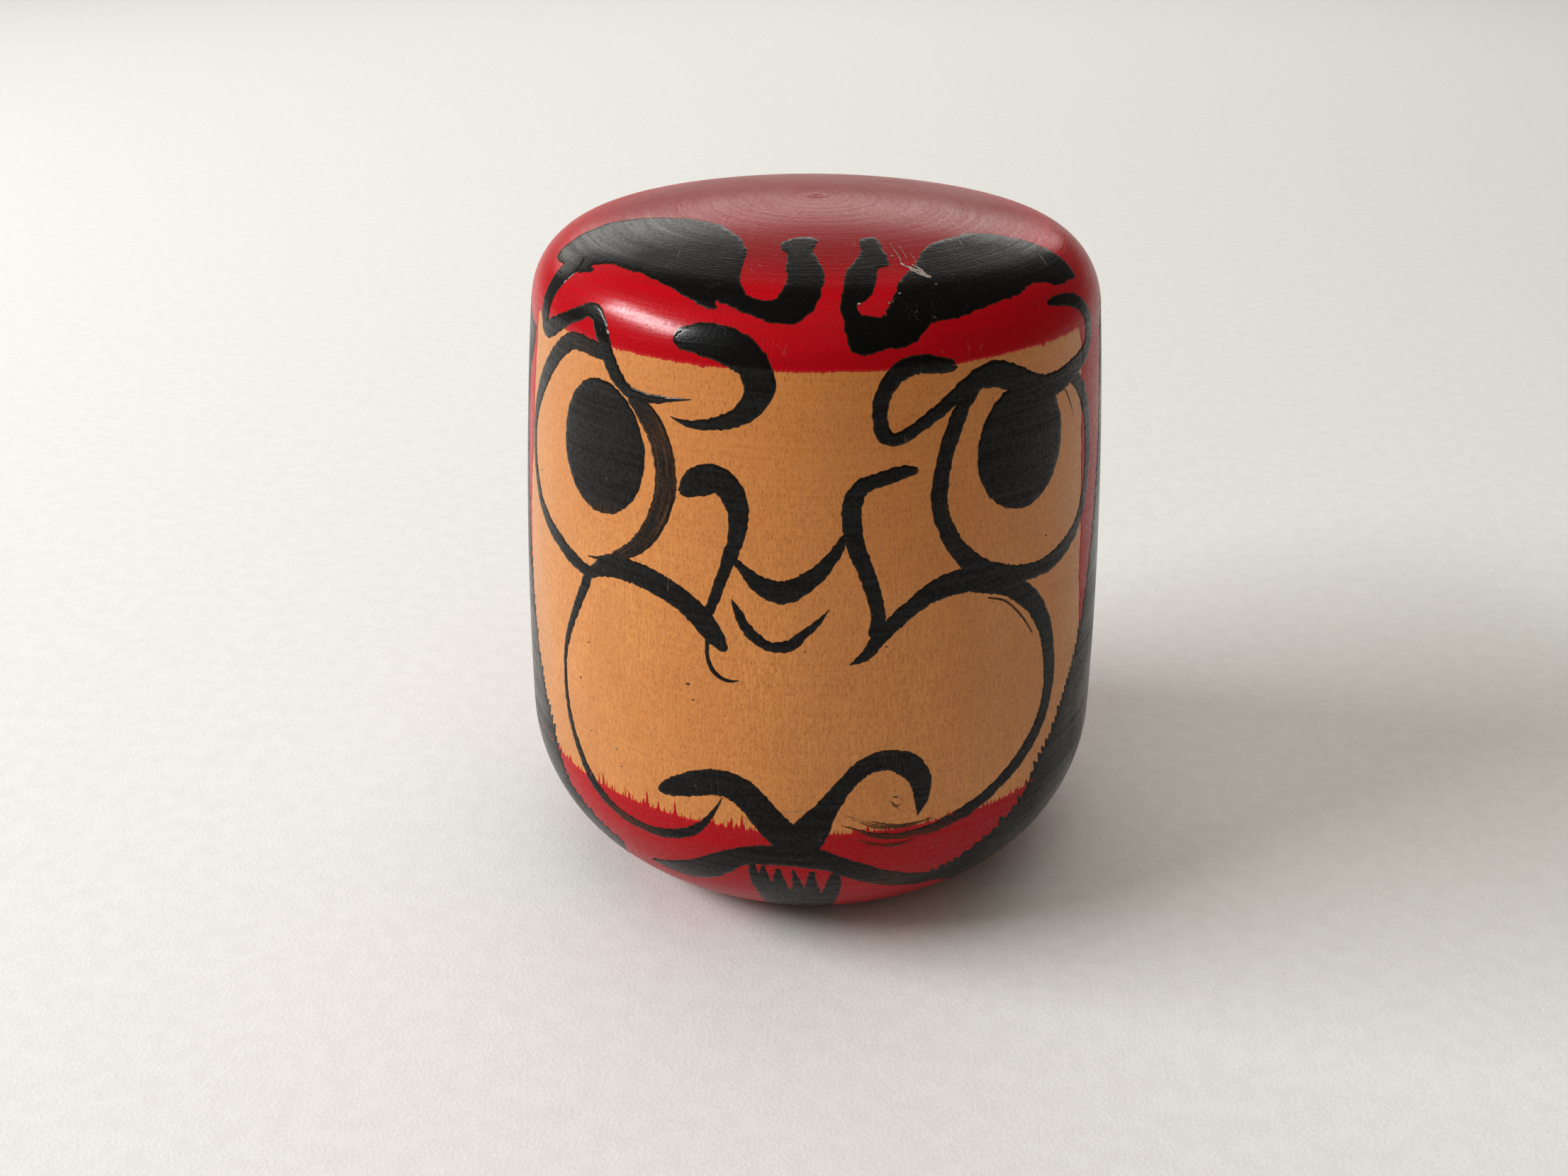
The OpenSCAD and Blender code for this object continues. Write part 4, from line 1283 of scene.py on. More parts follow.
@dataclass(frozen=True)
class Patch:
    """A filled area of ink inside a closed outline of angle and rise."""

    outline: Edge
    curved: bool = True
    direction: float = 0.0
    dry_below: tuple[float, float, float] | None = None
    ragged: float = 0.08
    wick: float = 0.18
    step: float = 0.22
    fill: float = 0.8

    def rim(self, turned: TurnedOutline, seed: int) -> np.ndarray:
        """The ragged outline in angle and rise.

        Args:
            turned: The block's outline.
            seed: The seed of the raggedness.

        Returns:
            The outline's points in order.
        """
        p = np.array(self.outline, float)
        q = np.roll(p, -1, 0)
        k = turned.per_degree(p[:, 1])
        spans = np.hypot((q[:, 0] - p[:, 0]) * k, q[:, 1] - p[:, 1])
        steps = np.maximum(np.ceil(spans / self.step).astype(int), 1)
        if self.curved:
            c = catmull_rom(p, True, steps)
        else:
            c = np.concatenate(
                [a + (b - a) * (np.arange(n) / n)[:, None] for a, b, n in zip(p, q, steps)]
            )
        k = turned.per_degree(c[:, 1])
        tangent = np.roll(c, -1, 0) - np.roll(c, 1, 0)
        du, dv = tangent[:, 0] * k, tangent[:, 1]
        length = np.maximum(np.hypot(du, dv), 1e-9)
        nu, nv = dv / length, -du / length
        area = np.sum(c[:, 0] * np.roll(c[:, 1], -1) - np.roll(c[:, 0], -1) * c[:, 1])
        if area < 0:
            nu, nv = -nu, -nv
        s = np.arange(len(c)) * self.step
        rough = self.ragged * (ripple(s, 0.5, seed) + 0.7 * ripple(s, 1.6, seed + 1))
        spike = np.maximum(ripple(c[:, 0] * k, 0.17, seed + 2) - 0.1, 0.0)
        c[:, 0] += rough * nu / k
        c[:, 1] += rough * nv + self.wick * spike * nv
        return c

    def lay(self, mesh: InkMesh) -> None:
        """Adds the patch to a feature's mesh.

        Args:
            mesh: The feature's mesh.
        """
        turned, seed = mesh.edges.outline, mesh.seed + 17 * mesh.layers
        rim = self.rim(turned, seed)
        middle = rim.mean(0)
        k = float(turned.per_degree(middle[1:2])[0])
        flat = (rim - middle) * (k, 1.0)
        low, high = flat.min(0), flat.max(0)
        xs = np.arange(low[0], high[0], self.fill)
        ys = np.arange(low[1], high[1], self.fill)
        gx, gy = np.meshgrid(xs, ys)
        gx = gx + (np.arange(len(ys)) % 2)[:, None] * self.fill / 2
        inner = np.stack([gx.ravel(), gy.ravel()], -1)
        away, inside = self.distance(inner, flat)
        keep = inside & (away > self.fill * 0.45)
        near = self.inset(flat, (0.1, 0.24))
        points = np.concatenate([flat, near, inner[keep]])
        n = len(flat)
        loop = [(i, (i + 1) % n) for i in range(n)]
        verts, _, faces, *_ = delaunay_2d_cdt([Vector(p) for p in points], loop, [], 1, 1e-5)
        flat_out = np.array([tuple(v) for v in verts])
        faces = self.facing_up(flat_out, [tuple(f) for f in faces])
        away, _ = self.distance(flat_out, flat)
        angle = flat_out[:, 0] / k + middle[0]
        rise = flat_out[:, 1] + middle[1]
        turn = math.radians(self.direction)
        dry = np.zeros(len(angle))
        if self.dry_below:
            start, end, amount = self.dry_below
            dry = amount * smooth_step(start, end, rise)
        values = {
            "along": flat_out[:, 0] * math.cos(turn) + flat_out[:, 1] * math.sin(turn),
            "across": flat_out[:, 1] * math.cos(turn) - flat_out[:, 0] * math.sin(turn),
            "dry": dry,
        }
        mesh.append(angle, rise, away, faces, values)

    @staticmethod
    def facing_up(flat: np.ndarray, faces: list[tuple[int, ...]]) -> list[tuple[int, ...]]:
        """Turns every face so that it runs anticlockwise."""
        a, b, c = (flat[[f[i] for f in faces]] for i in range(3))
        cross = (b - a)[:, 0] * (c - a)[:, 1] - (b - a)[:, 1] * (c - a)[:, 0]
        return [f if up > 0 else f[::-1] for f, up in zip(faces, cross)]

    @staticmethod
    def inset(flat: np.ndarray, depths: tuple[float, ...]) -> np.ndarray:
        """Rings of points just inside an outline, where they stay clear of its other side.

        Args:
            flat: The outline's points in millimetres.
            depths: How far in each ring lies.

        Returns:
            The rings' points.
        """
        tangent = np.roll(flat, -1, 0) - np.roll(flat, 1, 0)
        length = np.maximum(np.hypot(*tangent.T), 1e-9)
        normal = np.stack([-tangent[:, 1], tangent[:, 0]], -1) / length[:, None]
        area = np.sum(flat[:, 0] * np.roll(flat[:, 1], -1) - np.roll(flat[:, 0], -1) * flat[:, 1])
        normal = normal if area > 0 else -normal
        rings = []
        for depth in depths:
            ring = flat + normal * depth
            away, inside = Patch.distance(ring, flat)
            rings.append(ring[inside & (away > depth * 0.75)])
        return np.concatenate(rings)

    @staticmethod
    def distance(points: np.ndarray, rim: np.ndarray) -> tuple[np.ndarray, np.ndarray]:
        """Distance to a closed outline, and whether each point is inside it.

        Args:
            points: The points in millimetres.
            rim: The outline's points in order.

        Returns:
            The distances, and the inside test.
        """
        a, b = rim, np.roll(rim, -1, 0)
        span = b - a
        square = np.maximum((span**2).sum(1), 1e-12)
        away = np.zeros(len(points))
        inside = np.zeros(len(points), bool)
        for start in range(0, len(points), 400):
            p = points[start : start + 400, None, :]
            t = np.clip(((p - a) * span).sum(2) / square, 0, 1)
            near = a + t[..., None] * span
            away[start : start + 400] = np.sqrt(((p - near) ** 2).sum(2)).min(1)
            above = (a[:, 1] > p[..., 1]) != (b[:, 1] > p[..., 1])
            rise = np.where(np.abs(span[:, 1]) < 1e-12, 1e-12, span[:, 1])
            cut = a[:, 0] + (p[..., 1] - a[:, 1]) * span[:, 0] / rise
            inside[start : start + 400] = (above & (p[..., 0] < cut)).sum(1) % 2 == 1
        return away, inside


# ---------------------------------------------------------------- the inked features


@dataclass
class Brows:
    """The two black brows on the hood, each with a hook at its inner end."""

    left: Edge = (
        (-76.5, 107.5), (-75, 110.5), (-70, 113.5), (-63, 115.7), (-55, 117.2), (-45, 117.8),
        (-38, 117.6), (-30, 116.6), (-24, 115.2), (-19.5, 113.5), (-17, 112), (-15.5, 110),
        (-14, 107), (-12, 104), (-10, 102.4), (-7, 101.8), (-4.2, 101.9), (-2.8, 104),
        (-2.6, 106), (-3.5, 109), (-5, 112), (-7, 113.2), (-8, 115), (-7.3, 116), (-4, 117),
        (0, 117.3), (3, 117), (5, 116), (3.6, 114), (4, 112), (5.2, 110), (6.1, 108),
        (5.7, 104.5), (4.5, 101.5), (3, 100), (1, 99), (-2, 98.8), (-6, 99.2), (-10, 99.9),
        (-15.3, 101), (-14.7, 100), (-18, 100.1), (-25, 101.6), (-30, 102.4), (-35, 103),
        (-42, 103.1), (-47, 103), (-51.5, 101.9), (-49.6, 101.2), (-53, 100.3), (-57, 100.2),
        (-62, 100), (-67, 100), (-70, 101), (-72, 103.5), (-75, 106),
    )
    right: Edge = (
        (19, 114.7), (20, 115.7), (22, 116.4), (25, 116.5), (27, 116.2), (27, 115),
        (25.5, 113), (25, 111.5), (24, 109.5), (23, 108.8), (20.5, 108.2), (19, 107),
        (17.5, 105), (16, 103), (14, 101.8), (12.5, 101.2), (12.5, 100.2), (14, 99.8),
        (17, 99.6), (18, 100.6), (20, 102.4), (22, 104.3), (24.5, 105.8), (27, 107),
        (30, 108.3), (33, 109.8), (37, 111.3), (41, 112.3), (46, 112.8), (52, 113),
        (58, 112.8), (63, 112.3), (67, 111), (70, 109), (72, 106.5), (71.5, 103),
        (71, 100.5), (70, 99), (66, 98.9), (60, 99.2), (58.5, 99.8), (55, 100.5),
        (52, 100.4), (48, 99.9), (42, 99.5), (36, 99), (30, 98.4), (26, 98.3), (24, 97.4),
        (22, 96.4), (20, 95.9), (17, 95.8), (13, 95.3), (11, 95.6), (10, 96.2), (9.3, 98),
        (9, 99.5), (8.6, 100.3), (9, 102), (10, 104.5), (11, 106.8), (12.5, 108.8),
        (15, 110.5), (17.5, 112.5),
    )

    def build(self, edges: LacquerEdges, ink: bpy.types.Material) -> None:
        """Builds both brows.

        Args:
            edges: The lacquer that they lie on.
            ink: Their finish.
        """
        for name, edge, seed in (("left", self.left, 101), ("right", self.right, 201)):
            mesh = InkMesh(edges, f"brow_{name}_ink", seed)
            Patch(edge, direction=8.0, ragged=0.12).lay(mesh)
            mesh.finish(f"brow_{name}", Slot.INK, ink)


@dataclass
class Eyes:
    """Temple, lid, rim and fold lines round each eye, and the oval pupils."""

    temple_left: Line = ((-58, 100.5, 4.2), (-59.2, 97.5, 3.4), (-59.6, 94.5, 2.8), (-59.4, 92.7, 2.4))
    lid_left: Line = (
        (-59.4, 92.3, 2.1), (-57.5, 92.3, 2.3), (-55, 93, 2.2), (-50.5, 94.5, 1.9),
        (-46.5, 95.8, 1.8), (-43.3, 96.8, 1.9), (-40.4, 96.4, 2), (-38, 94.4, 2.2),
        (-36.4, 92.3, 2.2), (-34.3, 90.5, 2.1), (-31.2, 89, 1.6), (-27.5, 88.6, 1.3),
        (-23.5, 88.9, 0.8), (-18, 89.4, 0.2),
    )
    rim_left: Line = (
        (-38.6, 92.6, 2), (-43, 92.8, 2.1), (-47, 92.6, 2.2), (-50.3, 91.4, 2.3),
        (-53.8, 89.5, 2.4), (-57.6, 86.8, 2.5), (-60.7, 84, 2.3), (-63.2, 81, 1.8),
        (-64.3, 78, 1.5), (-63.9, 75, 1.5), (-62.2, 72, 1.6), (-59.8, 69.8, 1.8),
        (-57, 68.3, 2), (-53.5, 67.1, 2.1), (-50, 66.2, 2.1), (-46, 65.3, 2),
        (-42, 64.7, 1.7), (-39.5, 65, 1.3),
    )
    fold_left: Line = (
        (-30, 88.2, 1.6), (-27.4, 87, 2.6), (-24.8, 85, 2.8), (-23.2, 82.5, 2.9),
        (-22.6, 79.5, 2.9), (-23.1, 76.6, 2.8), (-24.9, 73.7, 2.7), (-27.3, 71.3, 2.3),
        (-30.7, 69.3, 1.8), (-34, 68, 1.2), (-37.5, 67.1, 0.6), (-41, 66.6, 0.2),
    )
    lid_right: Line = (
        (28.4, 93.4, 1.4), (26.3, 93.6, 2), (22.5, 94, 2.2), (18.7, 93.2, 2.3),
        (16.3, 91.2, 2.1), (15.5, 88.8, 1.8), (16, 86.6, 1.9), (18, 85.6, 1.6),
        (21, 86.3, 1.6), (24.5, 87.7, 1.7), (28, 89.2, 1.8), (31.5, 90.6, 2.2),
        (35, 91.5, 2.8), (38.5, 91.5, 3.1), (42, 90.6, 3.1), (46, 89.3, 3.1),
        (50, 88.4, 3.1), (54, 88.2, 3), (58, 88.5, 2.8), (62, 89.1, 2.6),
        (66.3, 89.9, 2.4), (68.5, 91.2, 2.3), (68.6, 93.3, 2.3), (66.8, 95.3, 2.3),
        (64, 96.6, 2), (60.5, 97.3, 1.6), (57.3, 97.6, 1.3), (55, 97.7, 0.8),
    )
    rim_right: Line = (
        (33.5, 90, 1.2), (31, 88.4, 1.9), (29, 85.8, 2.1), (27.5, 82.8, 2.1),
        (26.6, 79.8, 2.2), (26.6, 77, 2.2), (27.8, 74.3, 2.2), (29.8, 71.9, 2.3),
        (32.4, 69.8, 2.5), (35.5, 68.2, 2.6), (39.5, 67, 2.4), (43.5, 66.2, 2.2),
        (48, 65.7, 2.2), (53, 65.7, 2.4), (57, 66.3, 2.4), (61, 67.4, 2.2),
        (64.3, 69.2, 2), (66.4, 71.7, 2), (67.7, 75, 2.1), (67.9, 78.5, 2.2),
        (67.1, 82, 2.2), (65, 85.1, 2.2), (62.3, 87.2, 2), (59.5, 88.2, 1.5),
    )
    hairline_right: Line = ((54.8, 88.4, 0.2), (57.6, 86.8, 0.32), (59.8, 84.6, 0.25), (60.8, 83, 0.1))
    pupil_left: tuple[float, float, float, float] = (-37.8, 81.2, 10.8, 8.2)
    pupil_right: tuple[float, float, float, float] = (45.1, 82.2, 11.1, 7.8)

    @staticmethod
    def oval(middle_half: tuple[float, float, float, float]) -> Edge:
        """Outline of an oval from its middle and half sizes."""
        a, t, half_a, half_t = middle_half
        turns = [math.radians(i * 15) for i in range(24)]
        return tuple((a + half_a * math.cos(v), t + half_t * math.sin(v)) for v in turns)

    def build(self, edges: LacquerEdges, ink: bpy.types.Material) -> None:
        """Builds the eye lines and the pupils.

        Args:
            edges: The lacquer that some of them cross.
            ink: Their finish.
        """
        pupil = InkMesh(edges, "pupil_left_ink", 301)
        Patch(self.oval(self.pupil_left), direction=90.0, dry_below=(78.0, 72.5, 0.42)).lay(pupil)
        pupil.finish("pupil_left", Slot.INK, ink)
        pupil = InkMesh(edges, "pupil_right_ink", 311)
        Patch(self.oval(self.pupil_right), direction=90.0, dry_below=(80.0, 74.5, 0.2)).lay(pupil)
        pupil.finish("pupil_right", Slot.INK, ink)
        left = InkMesh(edges, "eye_line_left_ink", 321)
        Stroke(self.fold_left, dry=(0.3, 0.42, 0.4, 0.36, 0.4, 0.3)).lay(left)
        Stroke(self.rim_left, dry=(0.3, 0.32, 0.12, 0.0, 0.0, 0.0, 0.0, 0.1)).lay(left)
        Stroke(self.temple_left).lay(left)
        Stroke(self.lid_left).lay(left)
        left.finish("eye_line_left", Slot.INK, ink)
        right = InkMesh(edges, "eye_line_right_ink", 341)
        Stroke(self.rim_right, dry=(0.2, 0.25, 0.3, 0.2, 0.0, 0.0, 0.0, 0.15)).lay(right)
        Stroke(self.lid_right, frayed=(0.5, 0.3)).lay(right)
        Stroke(self.hairline_right, dry=(0.45, 0.5, 0.6), ragged=0.03).lay(right)
        right.finish("eye_line_right", Slot.INK, ink)


@dataclass
class NoseAndFrown:
    """The hooked frown line, the two nostrils, the tip of the nose and the line below it."""

    crease: Line = (
        (-19.5, 96.2, 2.8), (-17, 96.4, 3.6), (-13, 96.1, 4.1), (-9.5, 95.4, 4.2),
        (-6.7, 94, 3.9), (-5.4, 92, 3.7), (-6.2, 90, 3), (-9.2, 88.1, 2.2),
        (-13, 87.1, 1.6), (-17, 86.6, 1.1), (-20, 86.8, 0.6), (-21.8, 87.1, 0.2),
    )
    nostril_left: Line = (
        (-17.6, 79.4, 2.9), (-15.8, 80.1, 3.7), (-13, 80.6, 3.4), (-10.6, 79.6, 3.2),
        (-9, 77.5, 2.7), (-8.8, 75, 2.2), (-9.7, 72.4, 1.9), (-10.8, 70.2, 1.7),
        (-12.3, 67.3, 1.5), (-13.8, 64.3, 1.3),
    )
    nostril_right: Line = (
        (21.3, 81.8, 1.3), (19, 81.7, 1.8), (15.5, 81.1, 1.7), (12.3, 80.2, 2),
        (10.9, 78.4, 2.3), (10.7, 76.2, 2.4), (11.4, 73.6, 2.2), (13, 70.6, 2),
        (14.6, 67.6, 1.9), (15.5, 64.6, 1.8), (15.4, 62.2, 2),
    )
    tip: Line = (
        (-9.2, 71, 0.9), (-7.4, 69.7, 1.5), (-5, 68.4, 2.2), (-2.2, 67.6, 2.8),
        (0.3, 67.7, 2.8), (3, 68.8, 2.4), (5.5, 70.3, 2), (7.8, 72.2, 1.5), (9.7, 74.4, 1),
    )
    lip: Line = (
        (-9.8, 66.1, 0.2), (-9, 64.9, 0.9), (-7.2, 62.7, 1.4), (-5, 61.2, 1.5),
        (-2.5, 60.5, 1.4), (0.3, 60.8, 1.5), (2.5, 62, 1.2), (4.8, 63.5, 0.9),
        (7.1, 65.5, 0.2),
    )

    def build(self, edges: LacquerEdges, ink: bpy.types.Material) -> None:
        """Builds the five strokes.

        Args:
            edges: The lacquer that the frown line crosses.
            ink: Their finish.
        """
        strokes = (
            ("crease_left", Stroke(self.crease, frayed=(0.5, 0.0)), 401),
            ("nostril_left", Stroke(self.nostril_left, frayed=(0.55, 0.2)), 411),
            ("nostril_right", Stroke(self.nostril_right, frayed=(0.25, 0.4)), 421),
            ("nose_tip", Stroke(self.tip, dry=(0.1, 0.0, 0.0, 0.05)), 431),
            ("lip_line", Stroke(self.lip), 441),
        )
        for name, stroke, seed in strokes:
            mesh = InkMesh(edges, f"{name}_ink", seed)
            stroke.lay(mesh)
            mesh.finish(name, Slot.INK, ink)


@dataclass
class Cheeks:
    """The long loops of the cheeks, the left one with a small tick."""

    left_top: Line = (
        (-40.5, 64.3, 1), (-37.5, 65.8, 2.3), (-34, 66.7, 2.9), (-30, 66.9, 3.1),
        (-26, 66.6, 3.1), (-22, 65.8, 3), (-18.5, 64.7, 3), (-15.4, 63, 3),
        (-13, 61.1, 2.6), (-11.4, 59.8, 1.4),
    )
    left_side: Line = (
        (-40.6, 64.6, 1.6), (-42.2, 62.1, 1.6), (-44.8, 58.6, 1.4), (-47.2, 55, 1.2),
        (-48.8, 51.5, 0.9), (-49.3, 48, 0.9), (-48.9, 44.5, 1), (-47.6, 41, 1.2),
        (-45.3, 37.9, 1.4), (-42.1, 35, 1.6), (-38.3, 32.9, 1.6), (-34, 31.5, 1.5),
        (-29, 30.9, 1.4), (-25, 31, 1.5), (-21.3, 31.6, 1.5), (-17.9, 32.9, 1.4),
        (-15.2, 34.6, 1.1), (-13.1, 36.7, 0.6), (-11.6, 38.9, 0.2),
    )
    tick: Line = (
        (-14.3, 60.6, 0.6), (-14.2, 58.2, 0.6), (-13.3, 56.6, 0.7), (-11.8, 55.7, 0.6),
        (-10.2, 55.4, 0.5), (-8.6, 55.6, 0.2),
    )
    right: Line = (
        (10.9, 58.3, 0.3), (13.5, 59.4, 1.5), (15.8, 61.3, 1.9), (18, 63, 2.1),
        (21, 64.7, 2.2), (25, 66.5, 2.6), (29, 67.2, 3.2), (33, 67.2, 3.1),
        (37, 66.3, 3), (41.5, 65.1, 2.9), (46.3, 62.7, 2.9), (50, 59.7, 2.8),
        (52.7, 56, 2.7), (53.9, 52.3, 2.6), (54.4, 49.5, 2.5), (53.8, 46.3, 2.4),
        (52, 43.4, 2.4), (49, 40.9, 2.3), (45, 38.8, 2.1), (40.5, 36.9, 1.9),
        (35.5, 35.3, 1.9), (30, 34.2, 1.7), (25, 33.5, 1.4), (20, 33.5, 1.2),
        (16, 34.1, 0.9), (12.5, 35.1, 0.5), (10, 35.8, 0.2),
    )
    inner_hair: Line = ((37, 64.2, 0.3), (41, 63, 0.35), (45, 60.3, 0.4), (48.3, 57.2, 0.3))
    wisps: tuple[Line, ...] = (
        ((27, 35.3, 0.3), (22.5, 34.9, 0.6), (18, 35.2, 0.9), (14, 36.2, 0.8), (10.6, 37.3, 0.2)),
        ((24, 32.6, 0.2), (20, 32.2, 0.5), (16, 32.7, 0.5), (12.8, 33.6, 0.2)),
        ((18.6, 38.9, 0.2), (19.4, 38.2, 0.35), (20.6, 37.2, 0.2)),
    )

    def build(self, edges: LacquerEdges, ink: bpy.types.Material) -> None:
        """Builds both cheeks.

        Args:
            edges: The lacquer that their lower ends cross.
            ink: Their finish.
        """
        left = InkMesh(edges, "cheek_left_ink", 501)
        wet_to_dry = (0.0,) * 9 + (0.15, 0.4, 0.5, 0.45, 0.2, 0.1, 0.1, 0.1)
        Stroke(self.left_side, dry=wet_to_dry).lay(left)
        Stroke(self.left_top).lay(left)
        Stroke(self.tick, ragged=0.04, wick=0.06).lay(left)
        left.finish("cheek_left", Slot.INK, ink)
        right = InkMesh(edges, "cheek_right_ink", 521)
        dry = (0.0,) * 12 + (0.1, 0.2, 0.42, 0.62, 0.6, 0.7)
        Stroke(self.right, dry=dry, dry_side=0.25).lay(right)
        Stroke(self.inner_hair, dry=(0.5, 0.55, 0.6), ragged=0.05).lay(right)
        for line in self.wisps:
            Stroke(line, dry=(0.72, 0.62, 0.66, 0.74), ragged=0.1).lay(right)
        right.finish("cheek_right", Slot.INK, ink)


@dataclass
class MouthAndBeard:
    """The crossed moustache strokes, the bar below them and the short beard."""

    left: Line = (
        (-23, 38.2, 2), (-20.8, 39, 2.8), (-17, 40.1, 3.5), (-13, 40.9, 3.8),
        (-9.5, 40.7, 3.9), (-6.4, 39.1, 4), (-3.6, 36.8, 4), (-0.8, 34.6, 4.2),
        (2, 32.3, 4.5),
    )
    right: Line = (
        (23.9, 36.2, 0.3), (24.6, 38.3, 2), (24.3, 41, 2.9), (22.3, 43.4, 3.2),
        (18.5, 44.8, 3), (14.6, 44.4, 2.6), (11.6, 42.8, 2.3), (9.3, 40.6, 2.4),
        (6.9, 38, 3.2), (4.6, 35.4, 4.4), (2.3, 32.6, 5),
    )
    bar: Line = (
        (-27.9, 23.7, 1.4), (-25, 23.8, 2.7), (-20.5, 24.6, 3.9), (-16, 26.2, 4.2),
        (-12.3, 28.3, 3.8), (-8.5, 30.1, 3.2), (-4, 30.8, 3.5), (0, 31, 3.5),
        (4.5, 30.8, 3.7), (8, 29.9, 3.2), (11, 28.8, 3.2), (14, 27.6, 3.3),
        (17, 26.4, 3.3), (20, 25.4, 3.3), (24, 24.2, 3.3), (28.5, 23.2, 3.2),
    )
    beard: Edge = (
        (-7, 29.2), (-5.9, 29), (-5.3, 27.2), (-4.6, 29.1), (-4, 28.9), (-3, 25.2),
        (-2.1, 28.6), (-1.2, 28.6), (0.7, 23.4), (1.1, 28.4), (1.7, 28.4), (3.4, 24.2),
        (4.1, 28.2), (5.2, 28.2), (6.7, 22.6), (8.1, 27.8), (10, 28), (10.6, 24),
        (10, 20), (9.8, 12), (9.6, 8.6), (-5.2, 8.6), (-5.4, 12), (-5.6, 18), (-6.2, 22),
        (-7.2, 26),
    )

    def build(self, edges: LacquerEdges, ink: bpy.types.Material) -> None:
        """Builds the mouth and the beard.

        Args:
            edges: The lacquer that they lie on.
            ink: Their finish.
        """
        beard = InkMesh(edges, "beard_ink", 601)
        Patch(self.beard, curved=False, direction=90.0, ragged=0.1, fill=0.5).lay(beard)
        beard.finish("beard", Slot.INK, ink)
        mouth = InkMesh(edges, "mouth_ink", 611, layers=1)
        running_dry = (0.0,) * 9 + (0.1, 0.25, 0.42, 0.38, 0.3)
        Stroke(self.bar, dry=running_dry, frayed=(0.5, 0.0)).lay(mouth)
        Stroke(self.right).lay(mouth)
        Stroke(self.left, frayed=(0.4, 0.0)).lay(mouth)
        mouth.finish("mouth", Slot.INK, ink)


@dataclass
class Hair:
    """The broad black swaths beside the face, with bristle teeth along their front edges."""

    left_front: Edge = (
        (-66, 91), (-67, 88), (-71, 84), (-71.5, 76), (-70, 68), (-68.5, 60), (-66, 52),
        (-63, 46), (-59, 40.5), (-54.5, 35.5), (-50.5, 30.5), (-44, 27), (-36, 24),
    )
    left_under: Edge = ((-41, 18.5), (-50, 14), (-62, 14), (-75, 17), (-90, 19))
    right_front: Edge = (
        (-80, 92), (-79, 86), (-77, 76), (-74, 67), (-71.5, 61), (-68, 54), (-65, 49.5),
        (-60, 44), (-56, 40), (-51, 36), (-47.5, 32.5), (-42, 29.5), (-35, 26.5),
        (-30.5, 25), (-27.5, 24.2),
    )
    right_under: Edge = (
        (-27.5, 23.2), (-30, 21.8), (-33.5, 20.5), (-40, 16.5), (-50, 14), (-62, 14), (-75, 17),
        (-90, 19),
    )
    back: float = 112.0
    lean: float = 18.0
    wave: float = 3.0
    waves: float = 2.5
    low: float = 24.0
    top: float = 95.0
    tooth: float = 1.15
    pitch: float = 1.2
    back_steps: int = 90
    back_knots: int = 24
    back_wobble: float = 0.35

    def toothed(self, turned: TurnedOutline, front: Edge, seed: int) -> list[tuple[float, float]]:
        """A front edge with bristle teeth of uneven length that point up and forwards.

        Args:
            turned: The block's outline.
            front: The edge without its teeth.
            seed: The seed of the teeth's lengths.

        Returns:
            The toothed edge.
        """
        rng = np.random.default_rng(seed)
        p = np.array(front, float)
        k = turned.per_degree(p[:, 1])
        run = np.concatenate([[0], np.cumsum(np.hypot(np.diff(p[:, 0]) * k[1:], np.diff(p[:, 1])))])
        out, s = [], 0.0
        while s < run[-1]:
            pitch = self.pitch * rng.uniform(0.55, 1.5)
            length = self.tooth * rng.uniform(0.25, 1.3)
            base = [float(np.interp(s, run, p[:, i])) for i in (0, 1)]
            step = min(s + pitch * 0.35, run[-1])
            tip = [float(np.interp(step, run, p[:, i])) for i in (0, 1)]
            kk = float(turned.per_degree(np.array(base[1])))
            out.append((base[0], base[1]))
            out.append((tip[0] + length * 0.62 / kk, tip[1] + length * 0.8))
            s += pitch
        return out

    def edge(self, turned: TurnedOutline, front: Edge, under: Edge, seed: int) -> Edge:
        """The whole outline of one side's hair, with its angles on the left.

        Args:
            turned: The block's outline.
            front: The front edge without its teeth.
            under: The edge under the chin.
            seed: The seed of the teeth and of the back edge's wobble.

        Returns:
            The closed outline.
        """
        shares = [i / self.back_steps for i in range(self.back_steps + 1)]
        rng = np.random.default_rng(seed + 3)
        knots = np.linspace(0, 1, self.back_knots)
        wobble = np.interp(shares, knots, rng.normal(0, self.back_wobble, self.back_knots))
        rear = [
            (
                -self.back + self.lean * v + self.wave * math.sin(2 * math.pi * self.waves * v) + w,
                self.low + (self.top - self.low) * v,
            )
            for v, w in zip(shares, wobble)
        ]
        return (*self.toothed(turned, front, seed), *under, *rear)

    def build(self, edges: LacquerEdges, ink: bpy.types.Material) -> None:
        """Builds the hair on both sides.

        Args:
            edges: The lacquer that it lies on.
            ink: Its finish.
        """
        sides = (("left", self.left_front, self.left_under, 1, 701),
                 ("right", self.right_front, self.right_under, -1, 711))
        for name, front, under, sign, seed in sides:
            outline = self.edge(edges.outline, front, under, seed)
            outline = tuple((a * sign, t) for a, t in outline)
            mesh = InkMesh(edges, f"hair_{name}_ink", seed)
            Patch(outline, curved=False, direction=66.0 * sign, ragged=0.06, fill=1.1).lay(mesh)
            mesh.finish(f"hair_{name}", Slot.INK, ink)


